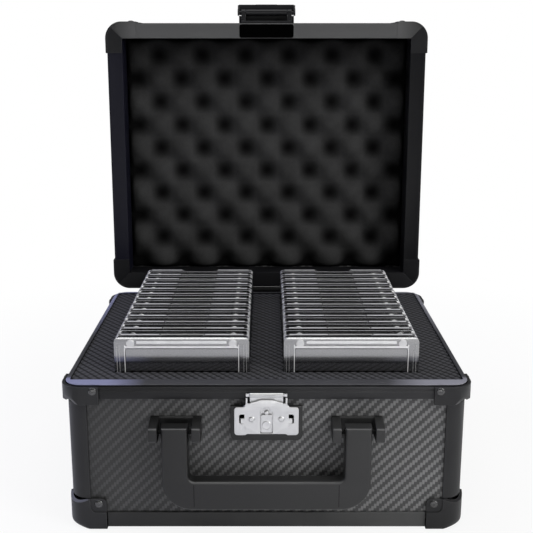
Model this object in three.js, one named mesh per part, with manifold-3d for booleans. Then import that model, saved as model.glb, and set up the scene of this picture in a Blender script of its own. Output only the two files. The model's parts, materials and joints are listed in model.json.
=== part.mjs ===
// A hard carry case that stands open: a panelled base with a carrying handle and a strike plate,
// a hinged lid lined with egg-crate foam, and a slotted foam insert with two rows of card holders.
// Millimetres, +Z up. It is drawn about the middle of the base, and then moved so that the origin is
// on the floor under the middle of the whole open case. The front faces -Y.
import * as THREE from 'three';
import { RoundedBoxGeometry } from 'three/addons/geometries/RoundedBoxGeometry.js';
import { mergeVertices } from 'three/addons/utils/BufferGeometryUtils.js';
import Module from 'manifold-3d';

const wasm = await Module();
wasm.setup();

const GAP = 0.3; // clearance kept between neighbouring pieces
const BASE_CENTRE_Y = -17.96; // middle of the base in the finished part

// Outer sizes of the rim, where the base and the lid meet
const RIM_HALF_X = 118;
const RIM_HALF_Y = 100;
const RIM_Z = 92;
const RIM_LEG = 8.8;
const RIM_FLANGE = 9;
const RIM_WALL = 1.4;

// Base below the rim, which stands back from it
const BASE_HALF_X = 116.5;
const BASE_HALF_Y = 98.3;
const EDGE_WALL = 1.2;
const EDGE_BOTTOM_Z = 1.3;
const EDGE_TOP_Z = 10.7;
const EDGE_FLOOR_LEG = 4.4;
const EDGE_FLOOR_REACH = 12;
const POST_LEG = 12.2;
const CORNER_RADIUS = 11;
const PANEL_THICKNESS = 4;
const FLOOR_Z = 6;
const FLOOR_RECESS = 1.9; // floor panel edge behind the base's outer faces
const FLOOR_CORNER_RADIUS = 7.6;
const PANEL_TOP_Z = 90;

// Corner pieces
const RIM_CORNER_PROUD = 1.3;
const RIM_CORNER_LEG = 22.8;
const RIM_CORNER_DROP = 12;
const CAP_PROUD = 1.5;
const CAP_LEG = 23;
const CAP_HEIGHT = 19.7;
const CAP_WALL = 1.5;
const CAP_BLANK_HALF = 60; // half size of the rounded block that the caps are cut from

// Card holders and the foam that holds them upright
const HOLDERS_PER_ROW = 13;
const HOLDER_WIDTH = 80.6;
const HOLDER_THICKNESS = 7;
const HOLDER_PITCH = 13.1;
const HOLDER_FRONT_Y = -RIM_HALF_Y + 24;
const HOLDER_INNER_X = 10.2;
const HOLDER_TOP_Z = RIM_Z + 20.6;
const FOAM_TOP_Z = RIM_Z - RIM_WALL - GAP;
const WEB_LOW_Z = RIM_Z + 0.6;
const WEB_TOP_Z = RIM_Z + 2.6;

// Lid, drawn shut above the rim and then turned open about its hinge
const LID_Z = RIM_Z + 0.5;
const LID_DEPTH = 40;
const LID_WALL = 1.5;
const LID_BAND = 11;
const LID_LINING = 1.4;
const LID_LINING_DEPTH = 22;
const LID_TOP_LEG = 12;
const LID_TOP_THICKNESS = 3.7;
const LID_CORNER_PROUD = 1.2;
const LID_CORNER_DEPTH = 16.7;
const LID_PANEL_LOW = 32;
const LID_PANEL_RECESS = 3.2;
const LID_PANEL_RADIUS = 7.8;
const LID_OPEN_ANGLE = THREE.MathUtils.degToRad(91);

// Rear hinges
const HINGE_Y = RIM_HALF_Y + 2.8;
const HINGE_Z = (RIM_Z + LID_Z) / 2;
const HINGE_X = 70;
const HINGE_KNUCKLE = 12;
const HINGE_RADIUS = 2.2;
const HINGE_LEAF_HEIGHT = 18;
const HINGE_LEAF_THICKNESS = 1;
const HINGE_PIN_RADIUS = 0.95;

// Carrying handle on the front
const HANDLE_HALF_X = 60.1;
const HANDLE_ARM = 15.2;
const HANDLE_BACK_Y = -102;
const HANDLE_DEPTH = 10;
const HANDLE_PIVOT_Y = HANDLE_BACK_Y - HANDLE_DEPTH / 2;
const HANDLE_PIVOT_Z = RIM_Z - 25.8;
const HANDLE_BOTTOM_Z = RIM_Z - 72.8;
const HANDLE_GRIP = 17.8;
const HANDLE_CORNER = 17;
const HANDLE_CHAMFER = 2.5;
const BRACKET_HALF_X = 14.9;
const BRACKET_HALF_Z = 5.6;
const BRACKET_PLATE = 1.3;
const HANDLE_PIN_RADIUS = 1.3;

// Latch: strike plate and sliding keeper on the base, folding lever on the lid
const PAD_HALF_X = 20.8;
const PAD_BOTTOM_Z = RIM_Z - 34.5;
const PAD_FRONT_Y = -99.4;
const STRIKE_FRONT_Y = -103;
const STRIKE_WALL = 1.1;
const STRIKE_HALF_X = 18.6;
const STRIKE_BOTTOM_Z = RIM_Z - 29.8;
const STRIKE_TOP_Z = RIM_Z - 12.5;
const STRIKE_ARCH_Z = RIM_Z - 8.8;
const STRIKE_NECK_HALF_X = 12;
const STRIKE_EAR_Z = RIM_Z - 3.7;
const KEEPER_HALF_X = 9.8;
const KEEPER_BAR_RADIUS = 1.3;
const KEEPER_BAR_Y = -101.9;
const KEEPER_BAR_Z = RIM_Z - 5.4;
const KEEPER_TAB_HALF_X = 3.2;
const KEEPER_TAB_LOW_Z = RIM_Z - 28.2;
const KEEPER_TAB_TOP_Z = RIM_Z - 17;
const KEEPER_TRAVEL = 1.5;
const LEVER_PIVOT_Y = -107.9;
const LEVER_PIVOT_Z = RIM_Z + 5;
const LEVER_HALF_X = 20.5;
const LEVER_WALL = 1.2;
const LEVER_LENGTH = 36.6;
const LEVER_DEPTH = 5.4;
const LATCH_PIN_RADIUS = 0.9;
const LATCH_LUG_RADIUS = 2.2;
const LATCH_LUG_HALF_X = 18.5;
const LATCH_LUG_WIDTH = 3;
const LATCH_PLATE = 1.3;
const LATCH_BLOCK = 5.3;
const LATCH_BLOCK_TOP = 37; // above the lid's lower edge
const LATCH_SWING = 7.5; // room above the pin for the turning lever
const LEVER_FACE = 0.9; // front face of the lever, ahead of the pin
const LEVER_FACE_TOP = -3.2;
const LEVER_CHEEK_TOP = 2.6;
const LEVER_STRAP = 4; // reach of the strap that ties the face to the knuckle
const HOOK_HALF_X = 8;
const HOOK_WALL = 1.2;
const HOOK_LIP = 0.9;
const HOOK_LOW = -12.9;
const HOOK_TOP = -6.5;
const HOOK_TIP_Y = 6.1;

const frameBlack = { color: 0x2b2b2e, roughness: 0.45, metalness: 0.7 };
const twillBlack = { color: 0x303033, roughness: 0.5, metalness: 0.1 };
const capBlack = { color: 0x252528, roughness: 0.4, metalness: 0.6 };
const plasticBlack = { color: 0x2e2e30, roughness: 0.6, metalness: 0 };
const foamBlack = { color: 0x151517, roughness: 0.95, metalness: 0 };
const satinSteel = { color: 0xc9c9cc, roughness: 0.35, metalness: 1 };
const clearAcrylic = { color: 0xb9bcc2, roughness: 0.1, metalness: 0 };

const X_AXIS = new THREE.Vector3(1, 0, 0);
const Y_AXIS = new THREE.Vector3(0, 1, 0);
const Z_AXIS = new THREE.Vector3(0, 0, 1);

// Geometry helpers

function box(x0, x1, y0, y1, z0, z1) {
  const geometry = new THREE.BoxGeometry(x1 - x0, y1 - y0, z1 - z0);
  return geometry.translate((x0 + x1) / 2, (y0 + y1) / 2, (z0 + z1) / 2);
}

function extrusion(depth) {
  return { depth, bevelEnabled: false, curveSegments: 7 };
}

// Extrudes an outline drawn in (y, z) from x0 to x1
function prismAlongX(outline, x0, x1) {
  const shape = outline instanceof THREE.Shape ? outline : shapeOf(outline);
  const geometry = new THREE.ExtrudeGeometry(shape, extrusion(x1 - x0));
  const turn = new THREE.Matrix4().makeBasis(Y_AXIS, Z_AXIS, X_AXIS);
  return geometry.applyMatrix4(turn).translate(x0, 0, 0);
}

// Extrudes an outline drawn in (x, z) from y0 towards the front, over the given depth
function prismAlongY(shape, y0, depth) {
  const geometry = new THREE.ExtrudeGeometry(shape, extrusion(depth));
  const turn = new THREE.Matrix4().makeBasis(X_AXIS, Z_AXIS, Y_AXIS.clone().negate());
  return geometry.applyMatrix4(turn).translate(0, y0, 0);
}

// Extrudes an outline drawn in (x, y) from z0 to z1
function prismAlongZ(shape, z0, z1) {
  const geometry = new THREE.ExtrudeGeometry(shape, extrusion(z1 - z0));
  return geometry.translate(0, 0, z0);
}

function cylinderAlongX(radius, x0, x1, y, z) {
  const geometry = new THREE.CylinderGeometry(radius, radius, x1 - x0, 20);
  return geometry.rotateZ(Math.PI / 2).translate((x0 + x1) / 2, y, z);
}

function shapeOf(points) {
  return new THREE.Shape(points.map(([a, b]) => new THREE.Vector2(a, b)));
}

function roundedRectangle(halfX, halfY, radius) {
  const shape = new THREE.Shape();
  shape.moveTo(-halfX + radius, -halfY);
  shape.absarc(halfX - radius, -halfY + radius, radius, -Math.PI / 2, 0);
  shape.absarc(halfX - radius, halfY - radius, radius, 0, Math.PI / 2);
  shape.absarc(-halfX + radius, halfY - radius, radius, Math.PI / 2, Math.PI);
  shape.absarc(-halfX + radius, -halfY + radius, radius, Math.PI, Math.PI * 1.5);
  return shape;
}

function rectangleHole(x0, x1, y0, y1) {
  const hole = new THREE.Path();
  hole.moveTo(x0, y0);
  hole.lineTo(x0, y1);
  hole.lineTo(x1, y1);
  hole.lineTo(x1, y0);
  hole.closePath();
  return hole;
}

function solid(geometry) {
  const bare = geometry.clone();
  bare.deleteAttribute('normal');
  bare.deleteAttribute('uv');
  const merged = mergeVertices(bare);
  const data = { numProp: 3, vertProperties: merged.attributes.position.array, triVerts: merged.index.array };
  return new wasm.Manifold(new wasm.Mesh(data));
}

function geometryOf(manifold) {
  const data = manifold.getMesh();
  const geometry = new THREE.BufferGeometry();
  geometry.setAttribute('position', new THREE.BufferAttribute(data.vertProperties, 3));
  geometry.setIndex(new THREE.BufferAttribute(data.triVerts, 1));
  return geometry;
}

function joined(geometries, cuts = []) {
  let body = geometries.map(solid).reduce((whole, piece) => whole.add(piece));
  for (const cut of cuts) {
    body = body.subtract(solid(cut));
  }
  return geometryOf(body);
}

function part(name, geometry, finish) {
  const mesh = new THREE.Mesh(geometry, new THREE.MeshStandardMaterial(finish));
  mesh.name = name;
  return mesh;
}

// Placement of the pieces that repeat round the case

const SIDES = [
  { name: 'front', turn: 0, across: RIM_HALF_X, out: RIM_HALF_Y },
  { name: 'right', turn: 1, across: RIM_HALF_Y, out: RIM_HALF_X },
  { name: 'rear', turn: 2, across: RIM_HALF_X, out: RIM_HALF_Y },
  { name: 'left', turn: 3, across: RIM_HALF_Y, out: RIM_HALF_X },
];

const CORNERS = [
  { name: 'rear_right', x: 1, y: 1, turn: 0 },
  { name: 'rear_left', x: -1, y: 1, turn: 1 },
  { name: 'front_left', x: -1, y: -1, turn: 2 },
  { name: 'front_right', x: 1, y: -1, turn: 3 },
];

// A piece drawn for the front, with its outer face on y = 0, is turned to its own side
function placeOnSide(mesh, side, out, z) {
  mesh.rotation.z = side.turn * Math.PI / 2;
  mesh.position.set(0, -out, z).applyAxisAngle(Z_AXIS, mesh.rotation.z);
  mesh.position.z = z;
  return mesh;
}

// A piece drawn with its outer corner at the origin, reaching towards -x and -y, goes to a corner
function placeAtCorner(mesh, corner, halfX, halfY, z) {
  mesh.rotation.z = corner.turn * Math.PI / 2;
  mesh.position.set(corner.x * halfX, corner.y * halfY, z);
  return mesh;
}

// The same piece turned upside down, reaching below z
function placeUnderCorner(mesh, corner, halfX, halfY, z) {
  const partner = CORNERS.find((other) => other.x === corner.x && other.y === -corner.y);
  mesh.rotation.set(Math.PI, 0, partner.turn * Math.PI / 2);
  mesh.position.set(corner.x * halfX, corner.y * halfY, z);
  return mesh;
}

// An angle round one corner, seen from above: outer corner at the origin
function cornerAngle(leg, wall, radius) {
  const shape = new THREE.Shape();
  shape.moveTo(-leg, 0);
  shape.lineTo(-leg, -wall);
  if (radius > wall) {
    shape.absarc(-radius, -radius, radius - wall, Math.PI / 2, 0, true);
  } else {
    shape.lineTo(-wall, -wall);
  }
  shape.lineTo(-wall, -leg);
  shape.lineTo(0, -leg);
  shape.absarc(-radius, -radius, radius, 0, Math.PI / 2);
  shape.closePath();
  return shape;
}

// A pressed cap for a corner where three edges meet, with rounded edges and a ball corner
function ballCorner(leg, height, radius, wall) {
  const reach = CAP_BLANK_HALF;
  const outer = new RoundedBoxGeometry(2 * reach, 2 * reach, 2 * reach, 4, radius);
  const innerSide = 2 * (reach - wall);
  const inner = new RoundedBoxGeometry(innerSide, innerSide, innerSide, 4, radius - wall);
  outer.translate(-reach, -reach, reach);
  inner.translate(-reach, -reach, reach);
  const kept = solid(box(-leg, 1, -leg, 1, -1, height));
  return geometryOf(solid(outer).subtract(solid(inner)).intersect(kept));
}

// Base

function basePanels() {
  const outY = BASE_HALF_Y - EDGE_WALL - GAP;
  const outX = BASE_HALF_X - EDGE_WALL - GAP;
  const endX = BASE_HALF_X - CORNER_RADIUS - GAP;
  const endY = BASE_HALF_Y - CORNER_RADIUS - GAP;
  const lowZ = FLOOR_Z + PANEL_THICKNESS + GAP;
  const floorHalfX = BASE_HALF_X - FLOOR_RECESS;
  const floor = roundedRectangle(floorHalfX, BASE_HALF_Y - FLOOR_RECESS, FLOOR_CORNER_RADIUS);
  const longPanel = box(-endX, endX, 0, PANEL_THICKNESS, lowZ, PANEL_TOP_Z);
  const shortPanel = box(-endY, endY, 0, PANEL_THICKNESS, lowZ, PANEL_TOP_Z);
  const group = new THREE.Group();
  for (const side of SIDES) {
    const isLong = side.across === RIM_HALF_X;
    const panel = part(`base_panel_${side.name}`, isLong ? longPanel : shortPanel, twillBlack);
    group.add(placeOnSide(panel, side, isLong ? outY : outX, 0));
  }
  group.add(part('base_floor_panel', prismAlongZ(floor, FLOOR_Z, FLOOR_Z + PANEL_THICKNESS), plasticBlack));
  return group;
}

function baseRim() {
  const profile = [
    [0, 0], [0, -RIM_LEG], [RIM_WALL, -RIM_LEG], [RIM_WALL, -RIM_WALL],
    [RIM_FLANGE, -RIM_WALL], [RIM_FLANGE, 0],
  ];
  const group = new THREE.Group();
  for (const side of SIDES) {
    const half = side.across + RIM_CORNER_PROUD - RIM_CORNER_LEG - GAP;
    const rail = part(`base_rim_${side.name}`, prismAlongX(profile, -half, half), frameBlack);
    group.add(placeOnSide(rail, side, side.out, RIM_Z));
  }
  const radius = CORNER_RADIUS + RIM_CORNER_PROUD;
  const wall = cornerAngle(RIM_CORNER_LEG, RIM_WALL + RIM_CORNER_PROUD, radius);
  const flange = cornerAngle(RIM_CORNER_LEG, RIM_FLANGE + RIM_CORNER_PROUD, radius);
  const corner = joined([prismAlongZ(wall, -RIM_CORNER_DROP, 0), prismAlongZ(flange, -RIM_WALL, 0)]);
  for (const place of CORNERS) {
    const bracket = part(`base_rim_corner_${place.name}`, corner, capBlack);
    const halfX = RIM_HALF_X + RIM_CORNER_PROUD;
    const halfY = RIM_HALF_Y + RIM_CORNER_PROUD;
    group.add(placeAtCorner(bracket, place, halfX, halfY, RIM_Z));
  }
  return group;
}

function baseEdges() {
  const height = EDGE_TOP_Z - EDGE_BOTTOM_Z;
  const profile = [
    [0, 0], [EDGE_FLOOR_REACH, 0], [EDGE_FLOOR_REACH, EDGE_FLOOR_LEG], [EDGE_WALL, EDGE_FLOOR_LEG],
    [EDGE_WALL, height], [0, height],
  ];
  const group = new THREE.Group();
  for (const side of SIDES) {
    const setBack = RIM_HALF_X - BASE_HALF_X;
    const half = side.across - setBack + CAP_PROUD - CAP_LEG - GAP;
    const out = side.out === RIM_HALF_X ? BASE_HALF_X : BASE_HALF_Y;
    const edge = part(`base_edge_${side.name}`, prismAlongX(profile, -half, half), frameBlack);
    group.add(placeOnSide(edge, side, out, EDGE_BOTTOM_Z));
  }
  const postTop = RIM_Z - RIM_CORNER_DROP - GAP;
  const post = prismAlongZ(cornerAngle(POST_LEG, EDGE_WALL, CORNER_RADIUS), CAP_HEIGHT + GAP, postTop);
  const cap = ballCorner(CAP_LEG, CAP_HEIGHT, CORNER_RADIUS, CAP_WALL);
  for (const place of CORNERS) {
    const upright = part(`base_corner_post_${place.name}`, post, frameBlack);
    group.add(placeAtCorner(upright, place, BASE_HALF_X, BASE_HALF_Y, 0));
    const foot = part(`base_corner_cap_${place.name}`, cap, capBlack);
    group.add(placeAtCorner(foot, place, BASE_HALF_X + CAP_PROUD, BASE_HALF_Y + CAP_PROUD, 0));
  }
  return group;
}

// Foam insert with one slot for each holder, and the holders themselves

function foamInsert() {
  const halfX = BASE_HALF_X - EDGE_WALL - PANEL_THICKNESS - 2 * GAP;
  const halfY = BASE_HALF_Y - EDGE_WALL - PANEL_THICKNESS - 2 * GAP;
  const lowZ = FLOOR_Z + PANEL_THICKNESS + GAP;
  const block = box(-halfX, halfX, -halfY, halfY, lowZ, FOAM_TOP_Z);
  const x0 = HOLDER_INNER_X - GAP;
  const x1 = HOLDER_INNER_X + HOLDER_WIDTH + GAP;
  const slots = [];
  for (let i = 0; i < HOLDERS_PER_ROW; i += 1) {
    const y0 = HOLDER_FRONT_Y + i * HOLDER_PITCH - GAP;
    const y1 = y0 + HOLDER_THICKNESS + 2 * GAP;
    slots.push(box(x0, x1, y0, y1, lowZ - 1, FOAM_TOP_Z + 1));
    slots.push(box(-x1, -x0, y0, y1, lowZ - 1, FOAM_TOP_Z + 1));
  }
  return part('foam_insert', joined([block], slots), foamBlack);
}

// Thirteen holders in a line, tied by a thin web just above the foam
function cardRow(name, x0) {
  const lowZ = FLOOR_Z + PANEL_THICKNESS + GAP;
  const upper = [];
  const lower = [];
  for (let i = 0; i < HOLDERS_PER_ROW; i += 1) {
    const y0 = HOLDER_FRONT_Y + i * HOLDER_PITCH;
    const y1 = y0 + HOLDER_THICKNESS;
    const isFirst = i === 0;
    const isLast = i === HOLDERS_PER_ROW - 1;
    if (!isFirst) {
      upper.push([y0, WEB_TOP_Z]);
      lower.push([y0, WEB_LOW_Z]);
    }
    upper.push([y0, HOLDER_TOP_Z], [y1, HOLDER_TOP_Z]);
    lower.push([y0, lowZ], [y1, lowZ]);
    if (!isLast) {
      upper.push([y1, WEB_TOP_Z]);
      lower.push([y1, WEB_LOW_Z]);
    }
  }
  const outline = [...lower, ...upper.reverse()];
  return part(name, prismAlongX(outline, x0, x0 + HOLDER_WIDTH), clearAcrylic);
}

// Carrying handle, its brackets and pins

function handle() {
  const inner = HANDLE_HALF_X - HANDLE_ARM;
  const topZ = HANDLE_PIVOT_Z + HANDLE_DEPTH / 2;
  const gripZ = HANDLE_BOTTOM_Z + HANDLE_GRIP;
  const chamfer = HANDLE_CHAMFER;
  const shape = new THREE.Shape();
  const cornerX = HANDLE_HALF_X - HANDLE_CORNER;
  const cornerZ = HANDLE_BOTTOM_Z + HANDLE_CORNER;
  shape.moveTo(-HANDLE_HALF_X, topZ);
  shape.lineTo(-HANDLE_HALF_X, cornerZ);
  shape.absarc(-cornerX, cornerZ, HANDLE_CORNER, Math.PI, Math.PI * 1.5);
  shape.absarc(cornerX, cornerZ, HANDLE_CORNER, -Math.PI / 2, 0);
  shape.lineTo(HANDLE_HALF_X, topZ);
  shape.lineTo(inner, topZ);
  shape.lineTo(inner, gripZ + chamfer);
  shape.lineTo(inner - chamfer, gripZ);
  shape.lineTo(-inner + chamfer, gripZ);
  shape.lineTo(-inner, gripZ + chamfer);
  shape.lineTo(-inner, topZ);
  shape.closePath();
  const blank = solid(prismAlongY(shape, HANDLE_BACK_Y, HANDLE_DEPTH));
  const side = new THREE.Shape();
  const half = HANDLE_DEPTH / 2;
  side.moveTo(HANDLE_PIVOT_Y - half, HANDLE_BOTTOM_Z - 1);
  side.lineTo(HANDLE_PIVOT_Y + half, HANDLE_BOTTOM_Z - 1);
  side.absarc(HANDLE_PIVOT_Y, HANDLE_PIVOT_Z, half, 0, Math.PI);
  side.closePath();
  const rounded = blank.intersect(solid(prismAlongX(side, -HANDLE_HALF_X - 1, HANDLE_HALF_X + 1)));
  const boreRadius = HANDLE_PIN_RADIUS + GAP;
  const boreX = HANDLE_HALF_X + 1;
  const bore = cylinderAlongX(boreRadius, -boreX, boreX, HANDLE_PIVOT_Y, HANDLE_PIVOT_Z);
  return part('carry_handle', geometryOf(rounded.subtract(solid(bore))), plasticBlack);
}

function handleMount(sideName, sign) {
  const centre = sign * (HANDLE_HALF_X - HANDLE_ARM / 2);
  const slot = HANDLE_ARM / 2 + GAP;
  const backY = -(BASE_HALF_Y - EDGE_WALL);
  const frontY = HANDLE_BACK_Y - HANDLE_DEPTH;
  const z0 = HANDLE_PIVOT_Z - BRACKET_HALF_Z;
  const z1 = HANDLE_PIVOT_Z + BRACKET_HALF_Z;
  const plateY = backY - BRACKET_PLATE;
  const outer = BRACKET_HALF_X;
  const pieces = [
    box(centre - outer, centre + outer, plateY, backY, z0, z1),
    box(centre - outer, centre - slot, frontY, backY, z0, z1),
    box(centre + slot, centre + outer, frontY, backY, z0, z1),
  ];
  const boreRadius = HANDLE_PIN_RADIUS + GAP;
  const boreX = outer + 1;
  const bore = cylinderAlongX(boreRadius, centre - boreX, centre + boreX, HANDLE_PIVOT_Y, HANDLE_PIVOT_Z);
  const pinX = outer - GAP;
  const pin = cylinderAlongX(HANDLE_PIN_RADIUS, centre - pinX, centre + pinX, HANDLE_PIVOT_Y, HANDLE_PIVOT_Z);
  const group = new THREE.Group();
  group.add(part(`handle_bracket_${sideName}`, joined(pieces, [bore]), plasticBlack));
  group.add(part(`handle_pin_${sideName}`, pin, satinSteel));
  return group;
}

// Latch pieces on the base

function strikePlate() {
  const half = STRIKE_HALF_X;
  const neck = STRIKE_NECK_HALF_X;
  const ear = STRIKE_WALL;
  const shape = shapeOf([
    [-half, STRIKE_BOTTOM_Z], [half, STRIKE_BOTTOM_Z], [half, STRIKE_TOP_Z], [neck, STRIKE_TOP_Z],
    [neck, STRIKE_EAR_Z], [neck - ear, STRIKE_EAR_Z], [neck - ear, STRIKE_ARCH_Z],
    [-neck + ear, STRIKE_ARCH_Z], [-neck + ear, STRIKE_EAR_Z], [-neck, STRIKE_EAR_Z],
    [-neck, STRIKE_TOP_Z], [-half, STRIKE_TOP_Z],
  ]);
  const tab = KEEPER_TAB_HALF_X + GAP;
  const windowTopZ = KEEPER_TAB_TOP_Z + KEEPER_TRAVEL + GAP;
  shape.holes.push(rectangleHole(-tab, tab, KEEPER_TAB_LOW_Z - GAP, windowTopZ));
  const backY = STRIKE_FRONT_Y + STRIKE_WALL;
  const footY = PAD_FRONT_Y - GAP;
  const overlapY = STRIKE_FRONT_Y + STRIKE_WALL / 2;
  const pieces = [
    prismAlongY(shape, backY, STRIKE_WALL),
    box(-half, -half + STRIKE_WALL, overlapY, footY, STRIKE_BOTTOM_Z, STRIKE_TOP_Z),
    box(half - STRIKE_WALL, half, overlapY, footY, STRIKE_BOTTOM_Z, STRIKE_TOP_Z),
  ];
  return part('strike_plate', joined(pieces), satinSteel);
}

function keeper() {
  const sheetFrontY = STRIKE_FRONT_Y + STRIKE_WALL + GAP;
  const sheetBackY = -RIM_HALF_Y - 2 * GAP;
  const tabFrontY = STRIKE_FRONT_Y - GAP;
  const half = KEEPER_HALF_X;
  const tab = KEEPER_TAB_HALF_X;
  const pieces = [
    box(-half, half, sheetFrontY, sheetBackY, KEEPER_TAB_LOW_Z, KEEPER_BAR_Z),
    cylinderAlongX(KEEPER_BAR_RADIUS, -half, half, KEEPER_BAR_Y, KEEPER_BAR_Z),
    box(-tab, tab, tabFrontY, sheetBackY, KEEPER_TAB_LOW_Z, KEEPER_TAB_TOP_Z),
  ];
  return part('keeper_slide', joined(pieces), satinSteel);
}

function latchPad() {
  const backY = -(BASE_HALF_Y - EDGE_WALL);
  const topZ = RIM_Z - RIM_LEG - GAP;
  const pad = box(-PAD_HALF_X, PAD_HALF_X, PAD_FRONT_Y, backY, PAD_BOTTOM_Z, topZ);
  return part('latch_pad', pad, plasticBlack);
}

// Rear hinges: the base leaf holds the middle knuckle, the lid leaf the two outer ones

function hingeRod(radius, x0, x1) {
  return cylinderAlongX(radius, x0, x1, HINGE_Y, HINGE_Z);
}

function baseHingeLeaf(name, centre) {
  const half = HINGE_KNUCKLE * 1.5;
  const middle = HINGE_KNUCKLE / 2;
  const leafY = RIM_HALF_Y + GAP;
  const outY = leafY + HINGE_LEAF_THICKNESS;
  const pieces = [
    box(centre - half, centre + half, leafY, outY, HINGE_Z - HINGE_LEAF_HEIGHT, HINGE_Z - HINGE_RADIUS - GAP),
    box(centre - middle, centre + middle, leafY, outY, HINGE_Z - HINGE_LEAF_HEIGHT, HINGE_Z),
    hingeRod(HINGE_RADIUS, centre - middle, centre + middle),
  ];
  const bore = hingeRod(HINGE_PIN_RADIUS + GAP, centre - half - 1, centre + half + 1);
  return part(name, joined(pieces, [bore]), satinSteel);
}

function lidHingeLeaf(name, centre) {
  const half = HINGE_KNUCKLE * 1.5;
  const middle = HINGE_KNUCKLE / 2 + GAP;
  const leafY = RIM_HALF_Y + GAP;
  const outY = leafY + HINGE_LEAF_THICKNESS;
  const topZ = HINGE_Z + HINGE_LEAF_HEIGHT;
  const pieces = [
    box(centre - half, centre + half, leafY, outY, HINGE_Z + HINGE_RADIUS + GAP, topZ),
    box(centre - half, centre - middle, leafY, outY, HINGE_Z + GAP, topZ),
    box(centre + middle, centre + half, leafY, outY, HINGE_Z + GAP, topZ),
    hingeRod(HINGE_RADIUS, centre - half, centre - middle),
    hingeRod(HINGE_RADIUS, centre + middle, centre + half),
  ];
  const bore = hingeRod(HINGE_PIN_RADIUS + GAP, centre - half - 1, centre + half + 1);
  return part(name, joined(pieces, [bore]), satinSteel);
}

function hingePin(name, centre) {
  const half = HINGE_KNUCKLE * 1.5;
  return part(name, hingeRod(HINGE_PIN_RADIUS, centre - half, centre + half), satinSteel);
}

// Lid, drawn shut

function lidWalls() {
  const inner = LID_BAND - LID_LINING;
  const topLow = LID_DEPTH - LID_TOP_THICKNESS;
  const profile = [
    [0, 0], [LID_BAND, 0], [LID_BAND, LID_LINING_DEPTH], [inner, LID_LINING_DEPTH], [inner, LID_WALL],
    [LID_WALL, LID_WALL], [LID_WALL, topLow], [LID_TOP_LEG, topLow], [LID_TOP_LEG, LID_DEPTH],
    [0, LID_DEPTH],
  ];
  const group = new THREE.Group();
  for (const side of SIDES) {
    const half = side.across + LID_CORNER_PROUD - RIM_CORNER_LEG - GAP;
    const isLong = side.across === RIM_HALF_X;
    const liningHalf = side.across - (isLong ? inner : LID_BAND + GAP);
    const lining = box(-liningHalf, liningHalf, inner, LID_BAND, LID_WALL + GAP, LID_LINING_DEPTH);
    const wall = joined([prismAlongX(profile, -half, half), lining]);
    group.add(placeOnSide(part(`lid_wall_${side.name}`, wall, frameBlack), side, side.out, LID_Z));
  }
  return group;
}

function lidCorners() {
  const radius = CORNER_RADIUS + LID_CORNER_PROUD;
  const wall = cornerAngle(RIM_CORNER_LEG, LID_WALL + LID_CORNER_PROUD, radius);
  const flange = cornerAngle(RIM_CORNER_LEG, LID_BAND + LID_CORNER_PROUD, radius);
  const corner = joined([prismAlongZ(wall, 0, LID_CORNER_DEPTH), prismAlongZ(flange, 0, LID_WALL)]);
  const capHeight = LID_DEPTH + LID_CORNER_PROUD - LID_CORNER_DEPTH - GAP;
  const cap = ballCorner(RIM_CORNER_LEG, capHeight, radius, CAP_WALL);
  const halfX = RIM_HALF_X + LID_CORNER_PROUD;
  const halfY = RIM_HALF_Y + LID_CORNER_PROUD;
  const group = new THREE.Group();
  for (const place of CORNERS) {
    const bracket = part(`lid_rim_corner_${place.name}`, corner, capBlack);
    group.add(placeAtCorner(bracket, place, halfX, halfY, LID_Z));
    const topCap = part(`lid_corner_cap_${place.name}`, cap, capBlack);
    group.add(placeUnderCorner(topCap, place, halfX, halfY, LID_Z + LID_DEPTH + LID_CORNER_PROUD));
  }
  return group;
}

function lidPanelAndFoam() {
  const halfX = RIM_HALF_X - LID_PANEL_RECESS;
  const outline = roundedRectangle(halfX, RIM_HALF_Y - LID_PANEL_RECESS, LID_PANEL_RADIUS);
  const panelZ = LID_Z + LID_PANEL_LOW;
  const foamZ = LID_Z + LID_LINING_DEPTH + GAP;
  const group = new THREE.Group();
  group.add(part('lid_top_panel', prismAlongZ(outline, panelZ, panelZ + PANEL_THICKNESS), twillBlack));
  group.add(part('lid_egg_crate_foam', prismAlongZ(outline, foamZ, panelZ - GAP), foamBlack));
  return group;
}

// Folding latch on the lid: mount, pin, lever and hook

function latchMount() {
  const backY = -RIM_HALF_Y - GAP;
  const plateY = backY - LATCH_PLATE;
  const blockY = backY - LATCH_BLOCK;
  const half = LATCH_LUG_HALF_X;
  const lug = LATCH_LUG_WIDTH;
  const swingClearZ = LEVER_PIVOT_Z + LATCH_SWING;
  const z0 = LEVER_PIVOT_Z - LATCH_LUG_RADIUS;
  const z1 = LEVER_PIVOT_Z + LATCH_LUG_RADIUS;
  const overlapZ = swingClearZ + 1;
  const pieces = [
    box(-half, half, plateY, backY, LID_Z + 1, overlapZ),
    box(-LEVER_HALF_X, LEVER_HALF_X, blockY, backY, swingClearZ, LID_Z + LATCH_BLOCK_TOP),
  ];
  for (const x0 of [-half, half - lug]) {
    pieces.push(box(x0, x0 + lug, LEVER_PIVOT_Y, backY, z0, z1));
    pieces.push(cylinderAlongX(LATCH_LUG_RADIUS, x0, x0 + lug, LEVER_PIVOT_Y, LEVER_PIVOT_Z));
  }
  const bore = cylinderAlongX(LATCH_PIN_RADIUS + GAP, -half - 1, half + 1, LEVER_PIVOT_Y, LEVER_PIVOT_Z);
  return part('latch_mount', joined(pieces, [bore]), capBlack);
}

function latchPin() {
  const half = LEVER_HALF_X - GAP;
  const pin = cylinderAlongX(LATCH_PIN_RADIUS, -half, half, LEVER_PIVOT_Y, LEVER_PIVOT_Z);
  return part('latch_pin', pin, satinSteel);
}

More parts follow.
